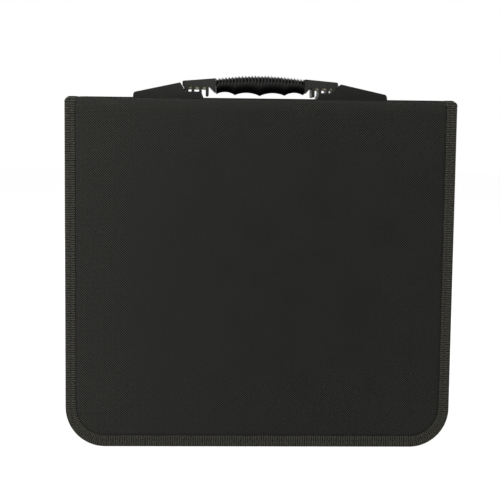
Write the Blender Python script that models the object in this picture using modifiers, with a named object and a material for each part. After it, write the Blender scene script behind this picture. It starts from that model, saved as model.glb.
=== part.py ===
"""A zipped binder case for compact discs, closed and standing on its zip edge.

Two stiffened cloth covers fold on a narrow spine. Each cover carries a round-cornered
gusset wall with one half of the zip, and a ribbed tape binds every outer edge. The spine
carries a moulded handle outside and a three-ring mechanism with the disc sleeves inside.

The case stands on the floor at Z = 0 with the spine on top. X runs along the spine and
the front cover faces -Y. The origin lies under the middle of the case.
"""
import math

import bmesh
import bpy
from mathutils import Matrix

MM = 0.001

# The whole case
CASE_WIDTH = 345 * MM
CASE_HEIGHT = 312 * MM
CASE_DEPTH = 100 * MM
CORNER_RADIUS = 35.5 * MM
FIT_GAP = 0.3 * MM
CORNER_STEPS = 9

# Binding tape, cover board, gusset and zip, as layers of one edge
BINDING_WIDTH = 10.2 * MM
BINDING_BACK_WIDTH = 5.3 * MM
BINDING_WALL = 0.9 * MM
BINDING_EDGE = 0.4 * MM
STITCH_INSET = 5.0 * MM
STITCH_WIDTH = 0.7 * MM
STITCH_DEPTH = 0.35 * MM
BOARD_THICKNESS = 3.8 * MM
PAD_RISE = 0.9 * MM
PAD_MARGIN = 0.6 * MM
PAD_EDGE = 0.5 * MM
FLANGE_WALL = 1.0 * MM
GUSSET_WALL = 1.2 * MM
GUSSET_OPENING = 16 * MM
TAPE_WALL = 0.8 * MM
TAPE_SEAM = 5 * MM
COIL_WIDTH = 2.6 * MM
COIL_HEIGHT = 1.7 * MM
COIL_SPLIT = 1.6 * MM
COIL_ROUNDING = 0.55 * MM

# Spine and the cloth folds that carry the covers
HINGE_INSET = 2.5 * MM
FOLD_RADIUS = 2.2 * MM
FOLD_END_INSET = 1.5 * MM
FOLD_END_EDGE = 1.2 * MM
SPINE_THICKNESS = 4.0 * MM
SPINE_END_ROUNDING = 3.6 * MM

# Zip slider and its pull, parked at the closed end
SLIDER_LENGTH = 11 * MM
SLIDER_HALF_WIDTH = 5.6 * MM
SLIDER_TAIL_HALF_WIDTH = 4.8 * MM
SLIDER_PLATE = 1.3 * MM
SLIDER_INNER_PLATE = 1.0 * MM
SLIDER_CLEARANCE = 0.5 * MM
SLIDER_LIP = 0.8 * MM
SLIDER_LIP_DEPTH = 1.6 * MM
LIP_SIDE_INSET = 0.15 * MM
SLIDER_POST = 1.0 * MM
SLIDER_POST_LENGTH = 3.2 * MM
SLIDER_TOP_INSET = 5 * MM
BRIDGE_HALF_WIDTH = 1.2 * MM
BRIDGE_LENGTH = 5.4 * MM
BRIDGE_HEIGHT = 2.8 * MM
BRIDGE_HOLE_RADIUS = 1.0 * MM
PULL_BAR_RADIUS = 0.65 * MM
PULL_THICKNESS = 1.2 * MM
PULL_LENGTH = 31 * MM
PULL_HALF_WIDTH = 3.5 * MM
PULL_ARM = 0.9 * MM
PULL_EYE_LENGTH = 3.6 * MM

# Handle anchors
ANCHOR_TOE_X = 114.8 * MM
ANCHOR_PEAK_X = 72.3 * MM
ANCHOR_NOTCH_X = 67.4 * MM
ANCHOR_END_X = 51.4 * MM
ANCHOR_END_SLOPE = 2 * MM
ANCHOR_TOE_HEIGHT = 4.6 * MM
ANCHOR_PEAK_HEIGHT = 14 * MM
ANCHOR_HALF_WIDTH = 17.5 * MM
TRAY_HEIGHT = 5.9 * MM
TRAY_FLOOR = 1.2 * MM
RIVET_FROM_PEAK = 18.7 * MM
RIVET_Y = 14.6 * MM
RIVET_RADIUS = 1.5 * MM
RIVET_HEAD_RADIUS = 2.5 * MM
RIVET_HEAD_HEIGHT = 1.1 * MM
RIVET_DEPTH = 3.5 * MM

# Handle strap, with a toothed head at each end
STRAP_HALF_WIDTH = 12 * MM
STRAP_CLEARANCE = 0.4 * MM
HEAD_OUTER_X = 70.5 * MM
HEAD_OUTER_TOP = 15.6 * MM
HEAD_INNER_TOP = 18.2 * MM
HEAD_UNDERSIDE = 10.6 * MM
HEAD_HEEL = 6.2 * MM
HEAD_HEEL_LENGTH = 2.0 * MM
HEAD_REST_GAP = 0.4 * MM
HEAD_BRACE_FOOT = 4.5 * MM
TOOTH_X = (61.0 * MM, 54.2 * MM)
TOOTH_WIDTH = 2.6 * MM
TOOTH_ROOT = 2 * MM
TOOTH_SIDE_INSET = 0.2 * MM
LONG_TOOTH_X = 48.0 * MM
LONG_TOOTH_WIDTH = 2.8 * MM
LONG_TOOTH_FLOOR = 1.9 * MM
TONGUE_HALF_WIDTH = 9 * MM
TONGUE_THICKNESS = 2.0 * MM
TONGUE_LENGTH = 14 * MM
TONGUE_ROOT = 4.2 * MM
TONGUE_RISE = 0.5 * MM
CORE_HALF_WIDTH = 7 * MM
CORE_THICKNESS = 4 * MM
CORE_HEIGHT = 11.2 * MM
CORE_ROOT = 4 * MM

# Ribbed grip with four finger scallops
GRIP_HALF_LENGTH = 39.9 * MM
GRIP_TOP = 21.1 * MM
GRIP_END_TOP = 18.3 * MM
GRIP_CUSP = 4.6 * MM
GRIP_END_CUSP = 4.7 * MM
GRIP_ARCH = 2.65 * MM
GRIP_MIDDLE_CUSP_X = 22.7 * MM
GRIP_HALF_WIDTH = 12.5 * MM
GRIP_RIBS = 26
GRIP_RIB_PITCH = 2.98 * MM
GRIP_RIB_DEPTH = 1.8 * MM
GRIP_SIDES = 20

# Ring mechanism on the inside of the spine
RING_BASE_END_INSET = 18 * MM
RING_BASE_HALF_WIDTH = 11.5 * MM
RING_BASE_DEPTH = 7.2 * MM
RING_BASE_WALL = 1.0 * MM
RING_BASE_ROUNDING = 3.0 * MM
BLADE_END_GAP = 2.4 * MM
BLADE_THICKNESS = 1.0 * MM
BLADE_DROP = 2.8 * MM
BLADE_EDGE_INSET = 0.5 * MM
RING_END_INSET = 24 * MM
RING_WIRE_RADIUS = 2.0 * MM
RING_ROOT_Y = 6.5 * MM
RING_SHOULDER_DROP = 3.9 * MM
RING_LEG_CLEARANCE = 5 * MM
RING_REACH = 33 * MM
RING_BEND = 9 * MM
RING_ROOT_BEND = 2.6 * MM
RING_SLOT_MARGIN = 0.6 * MM
RING_SWING_MARGIN = 1.3 * MM
BASE_RIVET_OFFSET = 24 * MM
BASE_RIVET_RADIUS = 2.0 * MM
BASE_RIVET_HEAD = 3.6 * MM
BASE_RIVET_HEAD_HEIGHT = 1.0 * MM
BASE_RIVET_SEAT = 2.0 * MM
LEVER_INSET = 5 * MM
LEVER_HUB_RADIUS = 1.6 * MM
LEVER_HALF_WIDTH = 8 * MM
LEVER_WALL = 1.2 * MM
LEVER_LENGTH = 15 * MM
LEVER_FLARE = 3.5 * MM
LEVER_NOTCH = 10 * MM

# Block of disc sleeves on the rings
PAGES_SIDE_INSET = 22.5 * MM
PAGES_FLOOR_GAP = 15 * MM
PAGES_ABOVE_RING = 13 * MM
PAGES_LEAVES = 30
PAGES_FACE_INSET = 17 * MM
LEAF_GROOVE = 0.9 * MM
LEAF_GROOVE_DEPTH = 2.2 * MM
POCKET_MARGIN = 5 * MM
POCKET_RISE = 0.4 * MM
SLOT_SIDE_GAP = 0.6 * MM
SLOT_BELOW = 3 * MM
SLOT_ABOVE = 6 * MM

# Levels and planes that several pieces share
HINGE_Y = CASE_DEPTH / 2 - HINGE_INSET
HINGE_Z = CASE_HEIGHT - HINGE_INSET
COVER_TOP = HINGE_Z - FOLD_RADIUS - FIT_GAP
SPINE_HALF_DEPTH = HINGE_Y - FOLD_RADIUS - FIT_GAP
SPINE_INNER = CASE_HEIGHT - SPINE_THICKNESS
BOARD_FRONT = BINDING_WALL + FIT_GAP
BOARD_BACK = BOARD_FRONT + BOARD_THICKNESS
FLANGE_FRONT = BOARD_BACK + FIT_GAP
FLANGE_BACK = FLANGE_FRONT + FLANGE_WALL
BINDING_DEPTH = FLANGE_BACK + FIT_GAP + BINDING_WALL
GUSSET_OUTER = BINDING_BACK_WIDTH + FIT_GAP
GUSSET_INNER = GUSSET_OUTER + GUSSET_WALL
GUSSET_END = CASE_DEPTH / 2 - GUSSET_OPENING / 2
TAPE_OUTER = GUSSET_INNER + FIT_GAP
TAPE_INNER = TAPE_OUTER + TAPE_WALL
COIL_FACE = CASE_DEPTH / 2 - COIL_SPLIT / 2
COIL_INNER = TAPE_OUTER - FIT_GAP
COIL_OUTER = COIL_INNER - COIL_HEIGHT
SLIDER_TOP = COVER_TOP - SLIDER_TOP_INSET
SLIDER_BOTTOM = SLIDER_TOP - SLIDER_LENGTH
COIL_END = SLIDER_BOTTOM - FIT_GAP
SLIDER_FACE = COIL_OUTER - SLIDER_CLEARANCE
HANDLE_BASE = CASE_HEIGHT + FIT_GAP
RING_BASE_TOP = SPINE_INNER - FIT_GAP
RING_BASE_CROWN = RING_BASE_TOP - RING_BASE_DEPTH
BLADE_TOP = RING_BASE_TOP - BLADE_DROP
BLADE_PIVOT_Y = RING_BASE_HALF_WIDTH - RING_BASE_WALL - BLADE_EDGE_INSET
BLADE_PIVOT_Z = BLADE_TOP - BLADE_THICKNESS / 2
RING_RUN_Z = SPINE_INNER - RING_REACH
PAGES_HALF_WIDTH = CASE_WIDTH / 2 - PAGES_SIDE_INSET
PAGES_HALF_DEPTH = CASE_DEPTH / 2 - PAGES_FACE_INSET
RING_LEG_Y = PAGES_HALF_DEPTH + RING_LEG_CLEARANCE
RING_BASE_REACH = PAGES_HALF_WIDTH - RING_BASE_END_INSET
LEVER_X = RING_BASE_REACH - LEVER_INSET
BLADE_REACH = LEVER_X - LEVER_HUB_RADIUS - BLADE_END_GAP
RING_SPACING = RING_BASE_REACH - RING_END_INSET
BASE_RIVET_X = RING_SPACING - BASE_RIVET_OFFSET
RIVET_X = ANCHOR_PEAK_X + RIVET_FROM_PEAK
LEVER_Z = BLADE_PIVOT_Z - FIT_GAP

# Turns that bring a flat curve's own plane to a world plane
PLANE_TURN = {
    "XY": (0.0, 0.0, 0.0),
    "XZ": (math.pi / 2, 0.0, 0.0),
    "YZ": (math.pi / 2, 0.0, math.pi / 2),
}

for old in list(bpy.data.objects):
    bpy.data.objects.remove(old, do_unlink=True)

case = bpy.data.collections.new("cd_storage_case")
tools = bpy.data.collections.new("cutting_shapes")
bpy.context.scene.collection.children.link(case)
bpy.context.scene.collection.children.link(tools)


def make_material(name, colour, roughness, metallic=0.0):
    """A plain surface: linear colour, roughness and metallic value."""
    material = bpy.data.materials.new(name)
    material.use_nodes = True
    shader = material.node_tree.nodes["Principled BSDF"]
    shader.inputs["Base Color"].default_value = (*colour, 1.0)
    shader.inputs["Roughness"].default_value = roughness
    shader.inputs["Metallic"].default_value = metallic
    material.diffuse_color = (*colour, 1.0)
    return material


CLOTH = make_material("black_polyester_cloth", (0.020, 0.020, 0.018), 0.85)
RIBBED_TAPE = make_material("black_grosgrain_tape", (0.028, 0.028, 0.024), 0.80)
ZIP_TAPE = make_material("black_zip_tape", (0.015, 0.015, 0.014), 0.75)
MOULDED = make_material("black_moulded_plastic", (0.022, 0.022, 0.018), 0.45)
GRIP_RUBBER = make_material("black_grip_rubber", (0.011, 0.012, 0.010), 0.50)
STEEL = make_material("plated_steel", (0.55, 0.55, 0.56), 0.28, 1.0)
BLACK_METAL = make_material("black_painted_metal", (0.020, 0.020, 0.020), 0.35, 0.6)
SLEEVE = make_material("clear_and_white_sleeve", (0.60, 0.61, 0.62), 0.40)


def place(obj, material, collection=case):
    """Put an object in a collection with its one material."""
    collection.objects.link(obj)
    if material is not None:
        obj.data.materials.clear()
        obj.data.materials.append(material)
    if collection is tools:
        obj.hide_render = True
        obj.display_type = "WIRE"
    return obj


def block(name, x_span, y_span, z_span, material=None, collection=tools):
    """A box between two values on each axis."""
    spans = (x_span, y_span, z_span)
    size = [high - low for low, high in spans]
    middle = [(high + low) / 2 for low, high in spans]
    matrix = Matrix.Translation(middle) @ Matrix.Diagonal((*size, 1.0))
    mesh = bpy.data.meshes.new(name)
    bm = bmesh.new()
    bmesh.ops.create_cube(bm, size=1.0, matrix=matrix)
    bm.to_mesh(mesh)
    bm.free()
    return place(bpy.data.objects.new(name, mesh), material, collection)


def rod(name, radius, start, end, turn="XY", sides=20, material=None, collection=tools):
    """A cylinder of one radius between two points on an axis of its plane turn."""
    middle = [(low + high) / 2 for low, high in zip(start, end)]
    length = math.dist(start, end)
    mesh = bpy.data.meshes.new(name)
    bm = bmesh.new()
    bmesh.ops.create_cone(bm, cap_ends=True, segments=sides, radius1=radius,
                          radius2=radius, depth=length)
    bm.to_mesh(mesh)
    bm.free()
    mesh.shade_smooth()
    mesh.set_sharp_from_angle(angle=math.radians(40))
    obj = bpy.data.objects.new(name, mesh)
    obj.location = middle
    obj.rotation_euler = PLANE_TURN[turn]
    return place(obj, material, collection)


def as_mesh(curve_obj, material, collection):
    """Turn a curve into a welded mesh object with the same name, place and turn."""
    bpy.context.scene.collection.objects.link(curve_obj)
    bpy.context.view_layer.update()
    graph = bpy.context.evaluated_depsgraph_get()
    mesh = bpy.data.meshes.new_from_object(curve_obj.evaluated_get(graph))
    bm = bmesh.new()
    bm.from_mesh(mesh)
    bmesh.ops.remove_doubles(bm, verts=bm.verts, dist=0.00001)
    bmesh.ops.recalc_face_normals(bm, faces=bm.faces)
    bm.to_mesh(mesh)
    bm.free()
    name = curve_obj.name
    curve = curve_obj.data
    matrix = curve_obj.matrix_world.copy()
    bpy.data.objects.remove(curve_obj)
    bpy.data.curves.remove(curve)
    mesh.name = name
    obj = bpy.data.objects.new(name, mesh)
    obj.matrix_world = matrix
    return place(obj, material, collection)


def poly_curve(name, points, closed, flat=True):
    """A curve of straight pieces through points of two or three coordinates."""
    curve = bpy.data.curves.new(name, "CURVE")
    curve.dimensions = "2D" if flat else "3D"
    spline = curve.splines.new("POLY")
    spline.points.add(len(points) - 1)
    for point, values in zip(spline.points, points):
        point.co = (*values, *([0.0] * (3 - len(values))), 1.0)
    spline.use_cyclic_u = closed
    return curve


def extruded(name, outline, span, plane, material=None, collection=tools):
    """A closed outline in one plane, made solid between two values square to it."""
    curve = poly_curve(name, outline, closed=True)
    curve.fill_mode = "BOTH"
    curve.extrude = (span[1] - span[0]) / 2
    obj = bpy.data.objects.new(name, curve)
    obj.rotation_euler = PLANE_TURN[plane]
    middle = (span[0] + span[1]) / 2
    obj.location = {"XY": (0, 0, middle), "XZ": (0, middle, 0), "YZ": (middle, 0, 0)}[plane]
    return as_mesh(obj, material, collection)


def rounded(corners, steps=4):
    """A closed outline from corners of (x, y, radius), each radius drawn as an arc."""
    points = []
    count = len(corners)
    for index, (x, y, radius) in enumerate(corners):
        before = corners[index - 1]
        after = corners[(index + 1) % count]
        points += corner_arc(before, (x, y), after, radius, steps)
    return points


def corner_arc(before, corner, after, radius, steps):
    """Points of the arc that rounds one corner between two straight sides."""
    if radius == 0:
        return [corner]
    to_before = (before[0] - corner[0], before[1] - corner[1])
    to_after = (after[0] - corner[0], after[1] - corner[1])
    length_before = math.hypot(*to_before)
    length_after = math.hypot(*to_after)
    unit_before = (to_before[0] / length_before, to_before[1] / length_before)
    unit_after = (to_after[0] / length_after, to_after[1] / length_after)
    half = math.acos(unit_before[0] * unit_after[0] + unit_before[1] * unit_after[1]) / 2
    reach = min(radius / math.tan(half), 0.49 * length_before, 0.49 * length_after)
    true_radius = reach * math.tan(half)
    bisector = (unit_before[0] + unit_after[0], unit_before[1] + unit_after[1])
    scale = true_radius / math.sin(half) / math.hypot(*bisector)
    centre = (corner[0] + bisector[0] * scale, corner[1] + bisector[1] * scale)
    start = (corner[0] + unit_before[0] * reach, corner[1] + unit_before[1] * reach)
    end = (corner[0] + unit_after[0] * reach, corner[1] + unit_after[1] * reach)
    first = math.atan2(start[1] - centre[1], start[0] - centre[0])
    last = math.atan2(end[1] - centre[1], end[0] - centre[0])
    turn = (last - first + math.pi) % (2 * math.pi) - math.pi
    arc = []
    for step in range(steps + 1):
        angle = first + turn * step / steps
        arc.append((centre[0] + true_radius * math.cos(angle),
                    centre[1] + true_radius * math.sin(angle)))
    return arc


def cut(obj, other, operation="DIFFERENCE"):
    """Join or cut one solid with another by a Boolean modifier."""
    modifier = obj.modifiers.new(operation.lower() + "_" + other.name, "BOOLEAN")
    modifier.operation = operation
    modifier.solver = "EXACT"
    modifier.object = other
    return obj


def soften(obj, width, segments=1, angle=40):
    """Round the edges that turn by more than an angle."""
    modifier = obj.modifiers.new("softened_edges", "BEVEL")
    modifier.width = width
    modifier.segments = segments
    modifier.limit_method = "ANGLE"
    modifier.angle_limit = math.radians(angle)
    return obj


def joint_empty(name, location):
    """An empty on a joint's axis, which carries the pieces that turn on it."""
    empty = bpy.data.objects.new(name, None)
    empty.location = location
    empty.empty_display_size = 0.02
    case.objects.link(empty)
    return empty


def carry(empty, pieces):
    """Hang pieces on an empty without moving them."""
    bpy.context.view_layer.update()
    for piece in pieces:
        piece.parent = empty
        piece.matrix_parent_inverse = empty.matrix_world.inverted()


def u_outline(inset, top_left, top_right):
    """The covers' outline, open at the top: down the left side and up the right side."""
    half = CASE_WIDTH / 2
    radius = CORNER_RADIUS - inset
    centre_x = half - CORNER_RADIUS
    points = [(inset - half, top_left)]
    for side, first in ((-1, 180), (1, 270)):
        for step in range(CORNER_STEPS + 1):
            angle = math.radians(first + 90 * step / CORNER_STEPS)
            points.append((side * centre_x + radius * math.cos(angle),
                           CORNER_RADIUS + radius * math.sin(angle)))
    points.append((half - inset, top_right))
    return points


def edge_sweep(name, section, side, material, top_right=COVER_TOP):
    """Sweep a section of (inset from the edge, depth from the face) round one cover."""
    profile_points = [(-inset, -side * (CASE_DEPTH / 2 - depth)) for inset, depth in section]
    profile_curve = poly_curve(name + "_section", profile_points, closed=True)
    profile = bpy.data.objects.new(name + "_section", profile_curve)
    path = poly_curve(name, u_outline(0.0, COVER_TOP, top_right), closed=False)
    path.bevel_mode = "OBJECT"
    path.bevel_object = profile
    path.use_fill_caps = True
    obj = bpy.data.objects.new(name, path)
    obj.rotation_euler = PLANE_TURN["XZ"]
    solid = as_mesh(obj, material, case)
    bpy.data.objects.remove(profile)
    bpy.data.curves.remove(profile_curve)
    return solid


def cover_panel(name, side):
    """A stiffened cloth board whose padded field stands level with the binding."""
    face = side * CASE_DEPTH / 2
    rim_span = sorted((face - side * BOARD_FRONT, face - side * BOARD_BACK))
    pad_span = sorted((face - side * (BOARD_FRONT - PAD_RISE), face - side * BOARD_BACK))
    rim = u_outline(BOARD_FRONT, COVER_TOP, COVER_TOP)
    pad = u_outline(BINDING_WIDTH + PAD_MARGIN, COVER_TOP, COVER_TOP)
    board = extruded(name, rim, rim_span, "XZ", CLOTH, case)
    field = extruded(name + "_pad", pad, pad_span, "XZ")
    soften(field, PAD_EDGE, segments=2)
    return cut(board, field, "UNION")


def cover_binding(name, side):
    """A ribbed tape folded round the cover's edge, with one sunk row of stitches."""
    stitch_half = STITCH_WIDTH / 2
    section = [
        (BINDING_EDGE, 0.0),
        (STITCH_INSET - stitch_half, 0.0),
        (STITCH_INSET, STITCH_DEPTH),
        (STITCH_INSET + stitch_half, 0.0),
        (BINDING_WIDTH - BINDING_EDGE, 0.0),
        (BINDING_WIDTH, BINDING_EDGE),
        (BINDING_WIDTH, BINDING_WALL),
        (BINDING_WALL, BINDING_WALL),
        (BINDING_WALL, BINDING_DEPTH - BINDING_WALL),
        (BINDING_BACK_WIDTH, BINDING_DEPTH - BINDING_WALL),
        (BINDING_BACK_WIDTH, BINDING_DEPTH),
        (BINDING_EDGE, BINDING_DEPTH),
        (0.0, BINDING_DEPTH - BINDING_EDGE),
        (0.0, BINDING_EDGE),
    ]
    return edge_sweep(name, section, side, RIBBED_TAPE)


def cover_gusset(name, side):
    """The cover's cloth side wall, with a flange sewn in behind the board."""
    section = [
        (BOARD_FRONT, FLANGE_FRONT),
        (GUSSET_INNER, FLANGE_FRONT),
        (GUSSET_INNER, GUSSET_END),
        (GUSSET_OUTER, GUSSET_END),
        (GUSSET_OUTER, FLANGE_BACK),
        (BOARD_FRONT, FLANGE_BACK),
    ]
    return edge_sweep(name, section, side, CLOTH)


def zip_tape(name, side):
    """The woven tape of one zip half, sewn flat inside the gusset."""
    section = [
        (TAPE_OUTER, GUSSET_END - TAPE_SEAM),
        (TAPE_INNER, GUSSET_END - TAPE_SEAM),
        (TAPE_INNER, COIL_FACE),
        (TAPE_OUTER, COIL_FACE),
    ]
    return edge_sweep(name, section, side, ZIP_TAPE)


def zip_coil(name, side):
    """The coil sewn along the tape's edge, as the ridge it fills, up to the slider."""
    back = COIL_FACE - COIL_WIDTH
    section = [
        (COIL_INNER, back),
        (COIL_INNER, COIL_FACE),
        (COIL_OUTER + COIL_ROUNDING, COIL_FACE),
        (COIL_OUTER, COIL_FACE - COIL_ROUNDING),
        (COIL_OUTER, back + COIL_ROUNDING),
        (COIL_OUTER + COIL_ROUNDING, back),
    ]
    return edge_sweep(name, section, side, ZIP_TAPE, top_right=COIL_END)


def make_cover(name, side):
    """Everything that swings with one cover, carried on its cloth fold's axis."""
    pieces = [
        cover_panel(name + "_panel", side),
        cover_binding(name + "_binding", side),
        cover_gusset(name + "_gusset", side),
        zip_tape(name + "_zip_tape", side),
        zip_coil(name + "_zip_coil", side),
    ]
    hinge = joint_empty(name + "_hinge", (0.0, side * HINGE_Y, HINGE_Z))
    carry(hinge, pieces)
    return hinge


def make_spine():
    """The spine board with its padded field, its taped ends and the two folds."""
    half_width = CASE_WIDTH / 2 - BOARD_FRONT
    field_half = CASE_WIDTH / 2 - BINDING_WIDTH - PAD_MARGIN
    rim_top = CASE_HEIGHT - BOARD_FRONT
    depth = (-SPINE_HALF_DEPTH, SPINE_HALF_DEPTH)
    rim_rounding = SPINE_END_ROUNDING - BOARD_FRONT
    rim = rounded([
        (-half_width, SPINE_INNER, 0),
        (half_width, SPINE_INNER, 0),
        (half_width, rim_top, rim_rounding),
        (-half_width, rim_top, rim_rounding),
    ])
    panel = extruded("spine_panel", rim, depth, "XZ", CLOTH, case)
    field = block("spine_pad", (-field_half, field_half), depth, (SPINE_INNER, CASE_HEIGHT))
    soften(field, PAD_EDGE, segments=2)
    cut(panel, field, "UNION")
    for side_x in (-1, 1):
        for side_y in (-1, 1):
            x, y = side_x * RIVET_X, side_y * RIVET_Y
            hole = rod(f"anchor_rivet_hole_{side_x}_{side_y}", RIVET_RADIUS + FIT_GAP,
                       (x, y, SPINE_INNER - FIT_GAP), (x, y, CASE_HEIGHT + FIT_GAP))
            cut(panel, hole)
        x = side_x * BASE_RIVET_X
        seat = rod(f"base_rivet_hole_{side_x}", BASE_RIVET_RADIUS + FIT_GAP,
                   (x, 0.0, SPINE_INNER - FIT_GAP), (x, 0.0, SPINE_INNER + BASE_RIVET_SEAT))
        cut(panel, seat)
    for side, word in ((-1, "left"), (1, "right")):
        edge = side * CASE_WIDTH / 2
        inner = edge - side * BINDING_WIDTH
        profile = rounded([
            (edge, SPINE_INNER, 0),
            (edge, CASE_HEIGHT, SPINE_END_ROUNDING),
            (inner, CASE_HEIGHT, 0),
            (inner, CASE_HEIGHT - BINDING_WALL, 0),
            (edge - side * BINDING_WALL, CASE_HEIGHT - BINDING_WALL,
             SPINE_END_ROUNDING - BINDING_WALL),
            (edge - side * BINDING_WALL, SPINE_INNER, 0),
        ])
        reach = SPINE_HALF_DEPTH - FIT_GAP
        extruded(f"spine_binding_{word}", profile, (-reach, reach), "XZ", RIBBED_TAPE, case)
    fold_reach = CASE_WIDTH / 2 - FOLD_END_INSET
    for side, word in ((-1, "front"), (1, "back")):
        fold = rod(f"{word}_hinge_fold", FOLD_RADIUS, (-fold_reach, side * HINGE_Y, HINGE_Z),
                   (fold_reach, side * HINGE_Y, HINGE_Z), "YZ", 16, CLOTH, case)
        soften(fold, FOLD_END_EDGE, segments=2, angle=60)


def make_anchor(word, side):
    """A wedge foot: low at its toe, with a slot for the strap and an open tray."""
    base = HANDLE_BASE
    profile = [
        (side * ANCHOR_TOE_X, base, 0.4 * MM),
        (side * (ANCHOR_TOE_X - 0.6 * MM), base + ANCHOR_TOE_HEIGHT, 2.6 * MM),
        (side * ANCHOR_PEAK_X, CASE_HEIGHT + ANCHOR_PEAK_HEIGHT, 0.9 * MM),
        (side * ANCHOR_NOTCH_X, CASE_HEIGHT + TRAY_HEIGHT, 0.5 * MM),
        (side * (ANCHOR_END_X + ANCHOR_END_SLOPE), CASE_HEIGHT + TRAY_HEIGHT, 0.8 * MM),
        (side * ANCHOR_END_X, base, 0),
    ]
    width = (-ANCHOR_HALF_WIDTH, ANCHOR_HALF_WIDTH)
    anchor = extruded(f"handle_anchor_{word}", rounded(profile), width, "XZ", MOULDED, case)
    soften(anchor, 0.9 * MM, segments=2, angle=50)
    tray_half = STRAP_HALF_WIDTH + STRAP_CLEARANCE
    tray_floor = base + TRAY_FLOOR
    tray_x = sorted((side * (ANCHOR_END_X - 1 * MM), side * (ANCHOR_NOTCH_X - 0.4 * MM)))
    tray = block(f"tray_{word}", tray_x, (-tray_half, tray_half),
                 (tray_floor, CASE_HEIGHT + ANCHOR_PEAK_HEIGHT))
    cut(anchor, tray)
    slot_x = sorted((side * (ANCHOR_NOTCH_X - 2 * MM),
                     side * (HEAD_OUTER_X + TONGUE_LENGTH + FIT_GAP)))
    slot_half = TONGUE_HALF_WIDTH + STRAP_CLEARANCE
    tongue_low = CASE_HEIGHT + HEAD_HEEL + TONGUE_RISE
    slot = block(f"tongue_slot_{word}", slot_x, (-slot_half, slot_half),
                 (tongue_low - FIT_GAP, tongue_low + TONGUE_THICKNESS + FIT_GAP))
    cut(anchor, slot)
    for side_y in (-1, 1):
        x, y = side * RIVET_X, side_y * RIVET_Y
        seat = rod(f"anchor_seat_{word}_{side_y}", RIVET_RADIUS + FIT_GAP,
                   (x, y, base - FIT_GAP), (x, y, base + RIVET_DEPTH + FIT_GAP))
        cut(anchor, seat)
        make_anchor_rivet(word, side, side_y)
    return anchor


def make_anchor_rivet(word, side, side_y):
    """A rivet from inside the spine up into the foot of an anchor."""
    x, y = side * RIVET_X, side_y * RIVET_Y
    face = "front" if side_y < 0 else "back"
    head_top = SPINE_INNER - FIT_GAP
    rivet = rod(f"anchor_rivet_{word}_{face}", RIVET_HEAD_RADIUS,
                (x, y, head_top - RIVET_HEAD_HEIGHT), (x, y, head_top), "XY", 20,
                BLACK_METAL, case)
    soften(rivet, 0.35 * MM)
    shank = rod(f"rivet_shank_{word}_{face}", RIVET_RADIUS,
                (x, y, head_top - RIVET_HEAD_HEIGHT / 2), (x, y, HANDLE_BASE + RIVET_DEPTH))
    cut(rivet, shank, "UNION")


def head_beam(side):
    """One strap head seen from the front, without its teeth: a beam, brace and heel."""
    low = CASE_HEIGHT
    slope = (ANCHOR_PEAK_X - ANCHOR_NOTCH_X) / (ANCHOR_PEAK_HEIGHT - TRAY_HEIGHT)
    heel_x = ANCHOR_NOTCH_X + slope * (HEAD_HEEL - TRAY_HEIGHT) - HEAD_REST_GAP
    shoulder = TRAY_HEIGHT + (HEAD_OUTER_X + HEAD_REST_GAP - ANCHOR_NOTCH_X) / slope
    brace_x = LONG_TOOTH_X - LONG_TOOTH_WIDTH / 2 - FIT_GAP
    corners = [
        (GRIP_HALF_LENGTH + FIT_GAP, low + HEAD_INNER_TOP, 0.5 * MM),
        (GRIP_HALF_LENGTH + FIT_GAP, low + HEAD_BRACE_FOOT, 0.5 * MM),
        (brace_x, low + HEAD_UNDERSIDE, 0.4 * MM),
        (heel_x - HEAD_HEEL_LENGTH, low + HEAD_UNDERSIDE, 0.5 * MM),
        (heel_x - HEAD_HEEL_LENGTH, low + HEAD_HEEL, 0.4 * MM),
        (heel_x, low + HEAD_HEEL, 0.5 * MM),
        (HEAD_OUTER_X, low + shoulder, 0.8 * MM),
        (HEAD_OUTER_X, low + HEAD_OUTER_TOP, 1.2 * MM),
    ]
    return rounded([(side * x, z, radius) for x, z, radius in corners], steps=3)


def head_tooth(side, x, half_width, tip, rounding):
    """One tooth seen from the front, from inside the beam down to its rounded tip."""
    top = CASE_HEIGHT + HEAD_UNDERSIDE + TOOTH_ROOT
    corners = [
        (x - half_width, top, 0),
        (x - half_width, tip, rounding),
        (x + half_width, tip, rounding),
        (x + half_width, top, 0),
    ]
    return rounded([(side * along, z, radius) for along, z, radius in corners], steps=3)


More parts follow.
